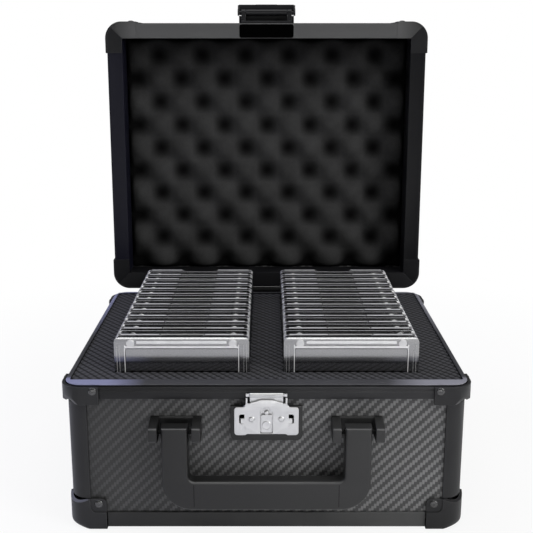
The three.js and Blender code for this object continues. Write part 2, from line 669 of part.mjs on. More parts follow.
// The lever and its hook are drawn hanging down as when latched, about the pin, and folded back up
function latchLever() {
  const half = LEVER_HALF_X;
  const faceY = -LEVER_FACE;
  const innerY = faceY + LEVER_WALL;
  const lowZ = -LEVER_LENGTH;
  const topZ = LEVER_CHEEK_TOP;
  const knuckle = LATCH_LUG_HALF_X - LATCH_LUG_WIDTH - GAP;
  const lever = joined([
    box(-half, half, faceY, innerY, lowZ, LEVER_FACE_TOP),
    box(-half, -half + LEVER_WALL, faceY, LEVER_DEPTH, lowZ, topZ),
    box(half - LEVER_WALL, half, faceY, LEVER_DEPTH, lowZ, topZ),
    box(-half, half, faceY, LEVER_DEPTH, lowZ, lowZ + LEVER_WALL),
    box(-knuckle, knuckle, faceY, innerY, -LEVER_STRAP, 0),
    cylinderAlongX(LATCH_LUG_RADIUS, -knuckle, knuckle, 0, 0),
  ], [cylinderAlongX(LATCH_PIN_RADIUS + GAP, -half - 1, half + 1, 0, 0)]);
  const hookY = innerY + GAP;
  const hook = joined([
    box(-HOOK_HALF_X, HOOK_HALF_X, hookY, hookY + HOOK_WALL, HOOK_LOW, HOOK_TOP),
    box(-HOOK_HALF_X, HOOK_HALF_X, hookY, HOOK_TIP_Y, HOOK_LOW, HOOK_LOW + HOOK_LIP),
  ]);
  const group = new THREE.Group();
  group.add(part('latch_lever', lever, capBlack));
  group.add(part('latch_hook', hook, satinSteel));
  group.position.set(0, LEVER_PIVOT_Y, LEVER_PIVOT_Z);
  group.rotation.x = -Math.PI;
  return group;
}

function base() {
  const group = new THREE.Group();
  group.add(basePanels(), baseRim(), baseEdges(), foamInsert());
  group.add(handleMount('left', -1), handleMount('right', 1), handle());
  group.add(latchPad(), strikePlate(), keeper());
  group.add(baseHingeLeaf('base_hinge_leaf_left', -HINGE_X), baseHingeLeaf('base_hinge_leaf_right', HINGE_X));
  group.add(hingePin('hinge_pin_left', -HINGE_X), hingePin('hinge_pin_right', HINGE_X));
  group.add(cardRow('card_row_left', -HOLDER_INNER_X - HOLDER_WIDTH));
  group.add(cardRow('card_row_right', HOLDER_INNER_X));
  return group;
}

function lid() {
  const shut = new THREE.Group();
  shut.add(lidWalls(), lidCorners(), lidPanelAndFoam(), latchMount(), latchPin(), latchLever());
  shut.add(lidHingeLeaf('lid_hinge_leaf_left', -HINGE_X), lidHingeLeaf('lid_hinge_leaf_right', HINGE_X));
  shut.position.set(0, -HINGE_Y, -HINGE_Z);
  const opened = new THREE.Group();
  opened.add(shut);
  opened.position.set(0, HINGE_Y, HINGE_Z);
  opened.rotation.x = -LID_OPEN_ANGLE;
  return opened;
}

const carryCase = new THREE.Group();
carryCase.add(base(), lid());
carryCase.position.y = BASE_CENTRE_Y;
export default carryCase;
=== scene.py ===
"""The looks of an open card case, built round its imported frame.

Pieces are drawn in millimetres about the middle of the base, with the lid shut and the lever latched,
and are then placed in the frame: +Z up, the front towards -Y, metres.
"""
import json
from math import asin, atan2, copysign, cos, degrees, exp, pi, radians, sin, sqrt

import bmesh
import bpy
from mathutils import Matrix, Vector


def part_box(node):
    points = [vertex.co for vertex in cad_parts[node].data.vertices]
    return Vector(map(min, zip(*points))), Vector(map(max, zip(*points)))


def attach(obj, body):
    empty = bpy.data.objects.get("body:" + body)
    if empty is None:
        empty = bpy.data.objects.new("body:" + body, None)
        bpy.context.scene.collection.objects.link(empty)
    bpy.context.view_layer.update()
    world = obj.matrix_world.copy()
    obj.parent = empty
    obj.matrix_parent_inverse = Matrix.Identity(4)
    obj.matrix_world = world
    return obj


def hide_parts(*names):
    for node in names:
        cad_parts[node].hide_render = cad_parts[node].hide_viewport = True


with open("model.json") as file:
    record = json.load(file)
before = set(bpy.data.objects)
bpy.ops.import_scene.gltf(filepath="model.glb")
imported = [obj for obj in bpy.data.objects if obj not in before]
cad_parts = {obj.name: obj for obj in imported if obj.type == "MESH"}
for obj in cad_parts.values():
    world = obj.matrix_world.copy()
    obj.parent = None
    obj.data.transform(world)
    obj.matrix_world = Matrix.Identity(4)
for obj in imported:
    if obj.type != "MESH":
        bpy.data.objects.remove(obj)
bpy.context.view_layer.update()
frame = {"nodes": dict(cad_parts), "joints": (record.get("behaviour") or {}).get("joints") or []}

MM = 0.001
SCENE = bpy.context.scene
NODES = frame["nodes"]
JOINTS = {joint["name"]: joint for joint in frame["joints"]}


# ---- the frame's own measures

CENTRE_Y = (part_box("base_rim_front")[0].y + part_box("base_rim_rear")[1].y) / 2
CENTRE = Vector((0, CENTRE_Y, 0))


def node_box(name):
    """Lowest and highest corner of a CAD node in millimetres about the middle of the base."""
    low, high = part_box(name)
    return (low - CENTRE) / MM, (high - CENTRE) / MM


def joint_point(name):
    return (Vector(JOINTS[name]["pos_m"]) - CENTRE) / MM


HINGE = joint_point("lid_hinge")
OPEN_ANGLE = radians(JOINTS["lid_hinge"]["range_deg"][0])
HANDLE_PIVOT = joint_point("handle_swing")

ON_BASE = Matrix.Translation((0, CENTRE_Y, 0)) @ Matrix.Scale(MM, 4)
LID_TURN = Matrix.Translation(HINGE) @ Matrix.Rotation(OPEN_ANGLE, 4, "X") @ Matrix.Translation(-HINGE)
ON_LID = ON_BASE @ LID_TURN
LEVER_PIVOT = LID_TURN.inverted() @ joint_point("latch_fold")
ON_LEVER = ON_LID @ Matrix.Translation(LEVER_PIVOT) @ Matrix.Rotation(-pi, 4, "X")
DRAWN_ON = {"lid": ON_LID, "latch_lever": ON_LEVER}

RIM_X = node_box("base_rim_right")[1].x
RIM_Y = node_box("base_rim_rear")[1].y
RIM_LOW, RIM_TOP = (corner.z for corner in node_box("base_rim_front"))
BASE_X = node_box("base_corner_post_front_right")[1].x
BASE_Y = node_box("base_corner_post_rear_right")[1].y
POST_LOW, POST_TOP = (corner.z for corner in node_box("base_corner_post_front_right"))
LID_BASE = RIM_TOP + 0.5
LID_PROUD = 1.2


# ---- drawing shaders

COLOUR_A, COLOUR_B, COLOUR_OUT = 6, 7, 2
VALUE_A, VALUE_B, VALUE_OUT = 2, 3, 0


def grey(value, blue=0.0):
    return (value, value, value + blue, 1.0)


class Nodes:
    """Draws nodes in a tree. A node takes plain values, with numbers as greys, or other nodes' outputs."""

    def __init__(self, tree):
        self.tree = tree
        coordinates = self.node("TexCoord")
        self.place = coordinates["Object"]
        self.xyz = self.split(self.place)
        self.normal = self.split(coordinates["Normal"])

    def feed(self, sockets, values):
        for key, value in values.items():
            if isinstance(value, bpy.types.NodeSocket):
                self.tree.links.new(value, sockets[key])
            elif sockets[key].type == "RGBA" and not isinstance(value, tuple):
                sockets[key].default_value = grey(value)
            else:
                sockets[key].default_value = value

    def node(self, kind, values=None, **settings):
        made = self.tree.nodes.new("ShaderNode" + kind)
        for key, value in settings.items():
            setattr(made, key, value)
        self.feed(made.inputs, values or {})
        return made.outputs

    def split(self, vector):
        return self.node("SeparateXYZ", {0: vector})

    def calc(self, operation, *values):
        return self.node("Math", dict(enumerate(values)), operation=operation)[0]

    def times(self, first, second):
        return self.calc("MULTIPLY", first, second)

    def blend(self, factor, first, second, blend_type="MIX"):
        values = {"Factor": factor, COLOUR_A: first, COLOUR_B: second}
        return self.node("Mix", values, data_type="RGBA", blend_type=blend_type)[COLOUR_OUT]

    def multiply(self, first, second):
        return self.blend(1.0, first, second, "MULTIPLY")

    def noise(self, scale, detail=2.0, stretch=None):
        place = self.place
        if stretch:
            place = self.node("Mapping", {"Vector": place, "Scale": stretch})[0]
        return self.node("TexNoise", {"Vector": place, "Scale": scale, "Detail": detail})["Fac"]

    def cells(self, scale):
        return self.node("TexVoronoi", {"Vector": self.place, "Scale": scale})["Distance"]

    def ramp(self, value, low, high, out_low=0.0, out_high=1.0):
        values = {"Value": value, "From Min": low, "From Max": high, "To Min": out_low, "To Max": out_high}
        return self.node("MapRange", values)["Result"]

    def uneven(self, patches, low, high):
        """A value that wanders between two others with a noise."""
        return self.ramp(patches, 0.3, 0.7, low, high)

    def mottled(self, patches, dark, light):
        """A grey or colour that wanders between two others with a noise."""
        return self.blend(self.uneven(patches, 0.0, 1.0), dark, light)

    def lit_sideways(self, colour, left_x, right_x, left, right):
        """Multiplies a colour by left at left_x and by right at right_x, with a smooth change between."""
        share = self.ramp(self.xyz[0], left_x, right_x)
        return self.multiply(colour, self.blend(share, left, right))

    def bump(self, height, distance, strength=1.0):
        values = {"Height": height, "Distance": distance, "Strength": strength}
        return self.node("Bump", values)["Normal"]

    def mix(self, factor, first, second):
        """A mixture of two shaders."""
        return self.node("MixShader", {0: factor, 1: first, 2: second})[0]


class Finish(Nodes):
    """A new material, with its main shader."""

    def __init__(self, name):
        self.material = bpy.data.materials.new(name)
        self.material.use_nodes = True
        super().__init__(self.material.node_tree)
        self.main = self.tree.nodes["Principled BSDF"]

    def surface(self, colour, roughness, shine=0.5, normal=None, metallic=0.0):
        """Sets up the main shader."""
        values = {"Base Color": colour, "Roughness": roughness, "Specular IOR Level": shine,
                  "Metallic": metallic}
        if normal is not None:
            values["Normal"] = normal
        self.feed(self.main.inputs, values)
        return self.material

    def show(self, shader):
        """Makes the material show this shader in place of its main one."""
        self.tree.links.new(shader, self.tree.nodes["Material Output"].inputs["Surface"])
        return self.material


# ---- finishes

LOZENGE_WIDTH = 0.0052
LOZENGE_LENGTH = 0.0065
TOW_WIDTH = 0.00156


def coated_black(name, base, roughness, shine=0.3, tint=0.0, wear_and_sheen=0.03, left=1.0, right=1.0, over=None):
    """Satin black finish: fine grain, slightly uneven gloss, and edges painted a little lighter and, with a
    tint, bluer: part wear, part painted highlight. left and right paint light that falls more on one side.
    """
    m = Finish(name)
    patches = m.noise(38.0, 3.0)
    soft = m.node("Bevel", {"Radius": 0.0007}, samples=4)["Normal"]
    facing = m.node("NewGeometry")["Normal"]
    alike = m.node("VectorMath", {0: soft, 1: facing}, operation="DOT_PRODUCT")["Value"]
    # edge share: part wear, part painted highlight
    rubbed_and_sheen = m.times(m.ramp(alike, 0.998, 0.90), m.ramp(patches, 0.35, 0.7, 0.3, 1.0))
    body = m.mottled(patches, grey(base * 0.85, tint), grey(base * 1.15, tint))
    colour = m.blend(rubbed_and_sheen, body, grey(base + wear_and_sheen, tint * 2))
    # painted light: the colour is scaled by left at -x and by right at +x
    if left != right:
        colour = m.lit_sideways(colour, -0.09, 0.09, left, right)
    if over:
        colour = over(m, colour)
    rough = m.uneven(patches, roughness - 0.05, roughness + 0.05)
    return m.surface(colour, rough, shine, m.bump(m.noise(1400.0), 0.00003))


def painted_band_light(m, plain):
    """Paints a highlight on the sloped band along the front of the lid's opening, up to the mitres at its
    ends: painted light, lighter away from the sides.
    """
    outer_x = (RIM_X + LID_PROUD) * MM
    outer_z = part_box("lid_rim_corner_front_left")[1].z
    aside = m.calc("SUBTRACT", outer_x, m.calc("ABSOLUTE", m.xyz[0]))
    down = m.calc("SUBTRACT", outer_z, m.xyz[2])
    past_mitre = m.ramp(m.calc("SUBTRACT", aside, down), -0.0002, 0.0005)
    on_band = m.times(past_mitre, m.ramp(m.normal[1], -0.6, -0.9))
    light = m.blend(m.ramp(aside, 0.006, 0.02), 0.028, 0.080)
    return m.blend(on_band, plain, light)


def twill_laminate(name, across, along):
    """A 2/2 twill of flat tows under a clear satin film, with painted light: lighter towards +x, warp tows
    lighter than weft tows as a painted sheen, and painted shade where the tows dip. across and along are
    object axes, 0 to 2.
    """
    m = Finish(name)
    u = m.calc("DIVIDE", m.xyz[across], TOW_WIDTH)
    v = m.calc("DIVIDE", m.xyz[along], TOW_WIDTH)
    in_u = m.calc("FRACT", u)
    in_v = m.calc("FRACT", v)
    step = m.calc("SUBTRACT", m.calc("FLOOR", u), m.calc("FLOOR", v))
    phase = m.calc("FLOORED_MODULO", step, 4.0)
    over = m.calc("LESS_THAN", phase, 1.5)
    warp_along = m.calc("ADD", m.calc("SUBTRACT", 1.0, phase), in_v)
    weft_along = m.calc("ADD", m.calc("SUBTRACT", phase, 2.0), in_u)
    heights = []
    for cross, run in ((in_u, warp_along), (in_v, weft_along)):
        round_cross = m.calc("SINE", m.times(cross, pi))
        round_run = m.calc("SINE", m.times(run, pi / 2))
        heights.append(m.calc("POWER", m.times(round_cross, round_run), 0.3))
    pick = {"Factor": over, VALUE_A: heights[1], VALUE_B: heights[0]}
    height = m.node("Mix", pick, data_type="FLOAT")[VALUE_OUT]
    # painted light: the weave gets lighter towards +x, the warp tows most
    painted_light_share = m.ramp(m.xyz[0], -0.11, 0.02)
    warp_light = m.blend(painted_light_share, 0.046, 0.21)
    weft_light = m.blend(painted_light_share, 0.034, 0.070)
    woven = m.blend(over, weft_light, warp_light)
    # painted shade where the tows dip
    shaded = m.blend(m.ramp(height, 0.0, 0.9), 0.55, 1.0)
    patches = m.blend(m.ramp(m.noise(26.0), 0.35, 0.65), 0.82, 1.0)
    colour = m.multiply(m.multiply(woven, shaded), patches)
    return m.surface(colour, 0.45, 0.35, m.bump(height, 0.00012, 0.6))


def lozenge_foam(name):
    """Dense foam with a cloth-like pressed surface of lozenges between crossing grooves, which are painted
    dark as shade.
    """
    m = Finish(name)
    across = m.times(m.xyz[0], pi / LOZENGE_WIDTH)
    grooves = []
    for sign in (1.0, -1.0):
        slope = m.times(m.xyz[1], sign * pi / LOZENGE_LENGTH)
        grooves.append(m.calc("ABSOLUTE", m.calc("SINE", m.calc("ADD", across, slope))))
    strong = m.ramp(grooves[0], 0.10, 0.75)
    faint = m.ramp(grooves[1], 0.05, 0.6, 0.35, 1.0)
    fine = m.noise(1500.0)
    speckled = m.times(m.times(strong, faint), m.uneven(fine, 0.8, 1.0))
    # painted shade: the grooves are nearly black, the lozenges a dark grey
    colour = m.blend(speckled, 0.006, grey(0.074, 0.007))
    return m.surface(colour, 0.75, 0.15, m.bump(fine, 0.0001))


def lip_finish(name):
    """Satin anodised lip with painted reflections: lighter near its corners, standing in for soft lights it
    mirrors, and dark along its middle, standing in for a dark room.
    """
    m = Finish(name)
    sideways = m.ramp(m.calc("ABSOLUTE", m.xyz[0]), 0.070, 0.092)
    on_front = m.ramp(m.xyz[1], CENTRE_Y - 0.086, CENTRE_Y - 0.090)
    to_rear = m.ramp(m.xyz[1], CENTRE_Y - 0.010, CENTRE_Y + 0.075)
    # painted reflection: where the lip is painted light
    lit = m.times(sideways, m.calc("MAXIMUM", on_front, to_rear))
    bright = m.blend(m.ramp(m.xyz[0], -0.08, 0.08), (0.26, 0.27, 0.42, 1), (0.27, 0.27, 0.31, 1))
    lines = m.noise(1.0, stretch=(60, 1500, 1500))
    brushed = m.mottled(lines, 0.85, 1.0)
    colour = m.multiply(m.blend(lit, grey(0.05, 0.006), bright), brushed)
    return m.surface(colour, 0.42, normal=m.bump(lines, 0.00002, 0.4))


def soft_foam(name, base):
    """Open-cell polyurethane foam: matt, with fine pores, darkened as painted shade in its pores and where
    its hollows are deep, and with a painted shadow near the top of the lid.
    """
    m = Finish(name)
    pores = m.cells(900.0)
    plain = m.mottled(m.noise(60.0, 3.0), base * 0.85, base * 1.1)
    pitted = m.blend(m.ramp(pores, 0.0, 0.35), base * 0.5, plain)
    hollow = m.node("Attribute", attribute_name="hollow")["Fac"]
    # painted shade in the deep hollows and near the walls, from the hollow attribute
    colour = m.blend(m.ramp(hollow, 0.45, 1.0), pitted, base * 0.08)
    # painted shadow: darker towards the top of the open lid, under its upper rim
    shaded = m.blend(m.ramp(m.xyz[2], 0.235, 0.285, 1.0, 0.42), 0.0, colour)
    return m.surface(shaded, 0.95, 0.05, m.bump(pores, 0.0002, 0.6))


def moulded_plastic(name, base, roughness, left=1.0, right=1.0):
    """Black nylon with a fine spark-eroded grain; front edges facing up, and more faintly those facing down,
    get a painted highlight, and left and right paint light across x.
    """
    m = Finish(name)
    patches = m.noise(30.0)
    colour = m.mottled(patches, base * 0.88, base * 1.12)
    # painted light: scaled by left at -x and by right at +x
    colour = m.lit_sideways(colour, -0.06, 0.05, left, right)
    # painted highlight on edges that face up and forwards, fainter on those facing down and forwards
    slope = m.times(m.normal[2], m.times(m.normal[1], -1.0))
    facing_up = m.ramp(slope, 0.26, 0.44)
    facing_down = m.ramp(slope, -0.26, -0.44, 0.0, 0.5)
    highlighted = m.blend(m.calc("MAXIMUM", facing_up, facing_down), colour, base + 0.055)
    rough = m.uneven(patches, roughness - 0.04, roughness + 0.06)
    return m.surface(highlighted, rough, normal=m.bump(m.cells(1300.0), 0.00005, 0.5))


def satin_metal(name, base, roughness, brushed_axis=0):
    """Nickel plate: satin, faintly brushed along one axis."""
    m = Finish(name)
    stretch = [2600.0, 2600.0, 2600.0]
    stretch[brushed_axis] = 90.0
    lines = m.noise(1.0, stretch=stretch)
    colour = m.mottled(m.noise(120.0), base * 0.94, base)
    rough = m.uneven(lines, roughness - 0.06, roughness + 0.06)
    return m.surface(colour, rough, normal=m.bump(lines, 0.00002, 0.5), metallic=1.0)


def clear_acrylic(name):
    """Clear moulded acrylic seen as a thin shell, whose rounded edges that face upwards get a painted
    highlight, a pale bluish grey mixed in.
    """
    m = Finish(name)
    up = m.split(m.node("NewGeometry")["Normal"])[2]
    # painted highlight on edges that slope upwards
    edge = m.times(m.ramp(up, 0.25, 0.5), m.ramp(up, 0.97, 0.85))
    flow = m.bump(m.noise(55.0, 1.0), 0.0002, 0.1)
    gloss = m.node("BsdfGlossy", {"Color": 1.0, "Roughness": 0.13, "Normal": flow})[0]
    clear = m.node("BsdfTransparent", {"Color": 0.2})[0]
    m.surface(grey(0.6, 0.05), 0.3)
    return m.show(m.mix(m.times(edge, 0.5), m.mix(0.36, clear, gloss), m.main.outputs[0]))


def acrylic_glint_white(name, base):
    """Ribs and cut edges of the holders, painted white as highlights where the clear plastic catches the
    light.
    """
    m = Finish(name)
    m.surface(m.mottled(m.noise(160.0), base * 0.85, base), 0.25)
    gloss = m.node("BsdfGlossy", {"Color": 1.0, "Roughness": 0.12})[0]
    return m.show(m.mix(0.3, m.main.outputs[0], gloss))


def card_print(name):
    """Plain dark card."""
    m = Finish(name)
    return m.surface(m.blend(m.noise(700.0), 0.003, 0.007), 0.6, 0.1)


def pale_floor(name):
    """Pale paper that fades into the white background away from the case."""
    m = Finish(name)
    m.surface(m.blend(m.noise(3.0), 0.90, 0.92), 0.85, 0.1)
    white = m.node("Emission", {"Color": 1.0, "Strength": 1.0})[0]
    reach = m.node("VectorMath", {0: m.place}, operation="LENGTH")["Value"]
    seen = m.node("LightPath")["Is Camera Ray"]
    share = m.times(seen, m.ramp(reach, 0.12, 0.5, 0.86, 1.0))
    return m.show(m.mix(share, m.main.outputs[0], white))


FRAME_BLACK = coated_black("frame_black", 0.018, 0.38, tint=0.001)
# the lid's black: a darker copy of the frame's black, painted shade on the lid
LID_BLACK = coated_black("lid_black", 0.007, 0.36, shine=0.16, tint=0.001, wear_and_sheen=0.02)
# a darker, duller copy of the black: painted shade on the hinge bead between lid and base; the handle pins
# use it too
BEAD_BLACK = coated_black("bead_black", 0.006, 0.6, shine=0.1, wear_and_sheen=0.004)
RIVET_BLACK = coated_black("rivet_black", 0.030, 0.16, shine=1.0, wear_and_sheen=0.02)
CAP_BLACK = coated_black("cap_black", 0.018, 0.36, tint=0.001, wear_and_sheen=0.045)
# the front rail: painted light, darker at -x and lighter at +x
RIM_FRONT_BLACK = coated_black("rim_front_black", 0.018, 0.38, tint=0.001, left=0.35, right=1.5)
# the lid's left side: a bluer copy of the lid's black, a painted bluish reflection
LID_LEFT_BLUE_SHEEN = coated_black("lid_left_blue_sheen", 0.006, 0.36, shine=0.16, tint=0.006, wear_and_sheen=0.02)
# the lid's front band and front corners: the lid's black with a painted highlight on the band
LID_BAND_PAINTED_LIGHT = coated_black("lid_band_painted_light", 0.007, 0.38, tint=0.001, wear_and_sheen=0.02, over=painted_band_light)
LIP_SHEEN = lip_finish("lip_sheen")
PIN_STEEL = satin_metal("pin_steel", 0.55, 0.35)
NICKEL = satin_metal("satin_nickel", 0.71, 0.36, brushed_axis=2)
LATCH_BLACK = coated_black("latch_black", 0.010, 0.30, tint=0.001)
HINGE_BLACK = coated_black("hinge_black", 0.016, 0.34)
# painted light: darker at -x and lighter at +x
PLASTIC = moulded_plastic("handle_plastic", 0.018, 0.46, left=0.3, right=1.15)
# the bottom edges: a lighter copy of the frame's black, with painted light growing towards +x
EDGE_BLACK = coated_black("edge_black", 0.030, 0.40, left=0.8, right=2.4)
BOARD = moulded_plastic("black_board", 0.014, 0.7)
TWILL_X = twill_laminate("twill_long_sides", 0, 2)
TWILL_Y = twill_laminate("twill_short_sides", 1, 2)
INSERT_FOAM = lozenge_foam("insert_foam")
EGG_FOAM = soft_foam("egg_crate_foam", 0.040)
ACRYLIC = clear_acrylic("clear_acrylic")
WINDOW = clear_acrylic("clear_window")
# white strips on the holders: painted highlights
GLINT_WHITE = acrylic_glint_white("acrylic_glint_white", 0.95)
CARD = card_print("plain_card")
# near-black without shine: painted shade and shadow on the seal, liner and latch plate, and the dark of the
# handle's mould seams
SHADOW_GAP = coated_black("shade_and_seam_black", 0.001, 0.9, shine=0.0, wear_and_sheen=0.0)


# ---- drawing meshes

LEVEL = Matrix.Identity(4)
FACING_FRONT = Matrix(((1, 0, 0), (0, 0, -1), (0, 1, 0))).to_4x4()
ALONG_X = Matrix(((0, 0, 1), (1, 0, 0), (0, 1, 0))).to_4x4()
ALONG_Y = Matrix(((1, 0, 0), (0, 0, 1), (0, 1, 0))).to_4x4()
SWAP_XY = Matrix(((0, 1, 0), (1, 0, 0), (0, 0, 1))).to_4x4()


def arc(x, y, radius, start, end, count=8):
    """Points of an arc, angles in degrees."""
    points = []
    for i in range(count + 1):
        angle = radians(start + (end - start) * i / count)
        points.append((x + radius * cos(angle), y + radius * sin(angle)))
    return points


def rounded(x0, x1, y0, y1, radius, count=6):
    """Outline of a rectangle with rounded corners."""
    points = []
    for x, y, start in ((x1, y0, -90), (x1, y1, 0), (x0, y1, 90), (x0, y0, 180)):
        inner_x = x - copysign(radius, x - (x0 + x1) / 2)
        inner_y = y - copysign(radius, y - (y0 + y1) / 2)
        points += arc(inner_x, inner_y, radius, start, start + 90, count)
    return points


def mirrored(points):
    """Points drawn on the right half, closed by their own mirror image."""
    return points + [(-x, y) for x, y in reversed(points)]


def drawn(shape, *values):
    """A new mesh that holds one shape."""
    bm = bmesh.new()
    shape(bm, *values)
    return bm


def stack(bm, rings):
    """Closes a stack of rings, each with the same number of points, into a solid."""
    loops = [[bm.verts.new(point) for point in ring] for ring in rings]
    bm.faces.new(loops[0])
    bm.faces.new(loops[-1])
    count = len(loops[0])
    for low, high in zip(loops, loops[1:]):
        for i in range(count):
            j = (i + 1) % count
            bm.faces.new((low[i], low[j], high[j], high[i]))


def prism(bm, outline, turn, start, end):
    """A closed prism: the outline lies across the turn's third axis, from start to end along it."""
    stack(bm, [[turn @ Vector((a, b, height)) for a, b in outline] for height in (start, end)])


def block(bm, x0, x1, y0, y1, z0, z1):
    prism(bm, [(x0, y0), (x1, y0), (x1, y1), (x0, y1)], LEVEL, z0, z1)


def lathe(bm, profile, centre, out, count=20):
    """Turns (radius, height) points, from axis to axis, about a line through centre pointing out."""
    turn = Vector((0, 0, 1)).rotation_difference(Vector(out)).to_matrix().to_4x4()
    turn = Matrix.Translation(centre) @ turn
    rings = []
    for radius, height in profile:
        ring = [(0.0, 0.0)]
        if radius:
            ring = []
            for i in range(count):
                angle = 2 * pi * i / count
                ring.append((radius * cos(angle), radius * sin(angle)))
        rings.append([bm.verts.new(turn @ Vector((x, y, height))) for x, y in ring])
    for low, high in zip(rings, rings[1:]):
        for i in range(count):
            j = (i + 1) % count
            corners = [low[i % len(low)], low[j % len(low)], high[j % len(high)], high[i % len(high)]]
            unique = list(dict.fromkeys(corners))
            if len(unique) > 2:
                bm.faces.new(unique)


def rod(bm, start, end, radius, count=20, edge=0.2):
    start, end = Vector(start), Vector(end)
    length = (end - start).length
    profile = [(0, 0), (radius - edge, 0), (radius, edge)]
    profile += [(radius, length - edge), (radius - edge, length), (0, length)]
    lathe(bm, profile, start, (end - start).normalized(), count)


def rivet(bm, centre, out, radius=2.4, height=1.0):
    """A pressed dome with a small pit in its middle."""
    skirt = 0.12
    profile = [(0, -0.4), (radius, -0.4), (radius, skirt)]
    for angle in (15, 30, 45, 60, 72):
        a = radians(angle)
        profile.append((radius * cos(a), skirt + (height - skirt) * sin(a)))
    profile += [(radius * 0.2, height), (radius * 0.12, height * 0.72), (0, height * 0.66)]
    lathe(bm, profile, centre, out, 24)


def mesh_from(bm):
    bmesh.ops.recalc_face_normals(bm, faces=bm.faces)
    mesh = bpy.data.meshes.new("mesh")
    bm.to_mesh(mesh)
    bm.free()
    return mesh


def linked(name, data):
    """A new object, put in the scene."""
    made = bpy.data.objects.new(name, data)
    SCENE.collection.objects.link(made)
    return made


def evaluated(thing, merge):
    """A bmesh of an object as its modifiers or its curve shape it, with points closer than merge joined."""
    bpy.context.view_layer.update()
    ready = thing.evaluated_get(bpy.context.evaluated_depsgraph_get())
    bm = bmesh.new()
    bm.from_mesh(bpy.data.meshes.new_from_object(ready))
    bmesh.ops.remove_doubles(bm, verts=bm.verts, dist=merge)
    return bm


def plate(outlines, turn, start, end, edge, steps=3):
    """A flat plate with rounded edges; outlines after the first are holes. It lies from start to end."""
    curve = bpy.data.curves.new("outline", "CURVE")
    curve.dimensions = "2D"
    curve.fill_mode = "BOTH"
    curve.extrude = abs(end - start) / 2 - edge
    curve.bevel_depth = edge
    curve.bevel_resolution = steps
    curve.offset = -edge
    for outline in outlines:
        spline = curve.splines.new("POLY")
        spline.points.add(len(outline) - 1)
        for point, (a, b) in zip(spline.points, outline):
            point.co = (a, b, 0, 1)
        spline.use_cyclic_u = True
    holder = linked("outline", curve)
    bm = evaluated(holder, 0.002)
    bpy.data.objects.remove(holder)
    bmesh.ops.transform(bm, matrix=turn @ Matrix.Translation((0, 0, (start + end) / 2)), verts=bm.verts)
    return bm


def combine(*bms):
    """Joins several bmeshes into the first."""
    target = bms[0]
    for other in bms[1:]:
        mesh = bpy.data.meshes.new("part")
        other.to_mesh(mesh)
        other.free()
        target.from_mesh(mesh)
        bpy.data.meshes.remove(mesh)
    return target


def cut(target, tool, operation="DIFFERENCE"):
    """Subtracts one drawn bmesh from another, or joins them by another boolean operation."""
    objects = [linked("solid", mesh_from(bm)) for bm in (target, tool)]
    modifier = objects[0].modifiers.new("solid", "BOOLEAN")
    modifier.operation = operation
    modifier.object = objects[1]
    modifier.solver = "EXACT"
    bm = evaluated(objects[0], 0.001)
    for made in objects:
        bpy.data.objects.remove(made)
    return bm


def soften(thing, edge):
    """Rounds a piece's sharp edges with a modifier, leaving its own mesh alone."""
    bevel = thing.modifiers.new("rounded_edges", "BEVEL")
    bevel.width = edge * MM
    bevel.segments = 2
    bevel.limit_method = "ANGLE"
    bevel.angle_limit = radians(35)
    bevel.harden_normals = True


def piece(name, bm, body, material, stands_for="", at=LEVEL, edge=0.0, sharp=35.0):
    """Puts a drawn mesh in the frame as a named piece that rides on a body."""
    place = DRAWN_ON.get(body, ON_BASE) @ at
    mesh = mesh_from(bm)
    mesh.transform(place)
    mesh.name = name
    if place.determinant() < 0:
        mesh.flip_normals()
    mesh.shade_smooth()
    mesh.set_sharp_from_angle(angle=radians(sharp))
    made = linked(name, mesh)
    made.data.materials.append(material)
    if edge:
        soften(made, edge)
    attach(made, body)
    if stands_for:
        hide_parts(stands_for)


# ---- where repeated pieces go

CORNERS = {"front_left": (-1, -1), "front_right": (1, -1), "rear_left": (-1, 1), "rear_right": (1, 1)}
SIDES = {"front": 0, "right": 90, "rear": 180, "left": 270}
LONG_SIDES = ("front", "rear")


def corner_pieces(name, bm, half, z, body, material, stands_for, edge, upside_down=False):
    """Repeats a piece at the four corners. It is drawn from its outer corner at the origin to +x, +y, +z."""
    for corner, (side_x, side_y) in CORNERS.items():
        flip = Matrix.Diagonal((-side_x, -side_y, -1 if upside_down else 1, 1))
        at = Matrix.Translation((side_x * half[0], side_y * half[1], z)) @ flip
        finish = material(corner) if callable(material) else material
        piece(f"{name}_{corner}", bm.copy(), body, finish, f"{stands_for}_{corner}", at, edge)


def on_side(name, out):
    """Places a piece drawn for the front, with its outer face on y = 0, on its own side."""
    return Matrix.Rotation(radians(SIDES[name]), 4, "Z") @ Matrix.Translation((0, -out, 0))


def side_measures(name):
    """Half the rim's length along a side, the distance of its face from the middle, and where rails end."""
    half, out = (RIM_X, RIM_Y) if name in LONG_SIDES else (RIM_Y, RIM_X)
    return half, out, half - CORNER_RADIUS - 1


# ---- CAD nodes that keep their shape

def finish_node(name, material, edge=0.0):
    thing = NODES[name]
    thing.data.materials.clear()
    thing.data.materials.append(material)
    if edge:
        weld = thing.modifiers.new("weld", "WELD")
        weld.merge_threshold = 0.00001
        flat = thing.modifiers.new("flat_faces", "DECIMATE")
        flat.decimate_type = "DISSOLVE"
        flat.angle_limit = radians(1)
        soften(thing, edge)


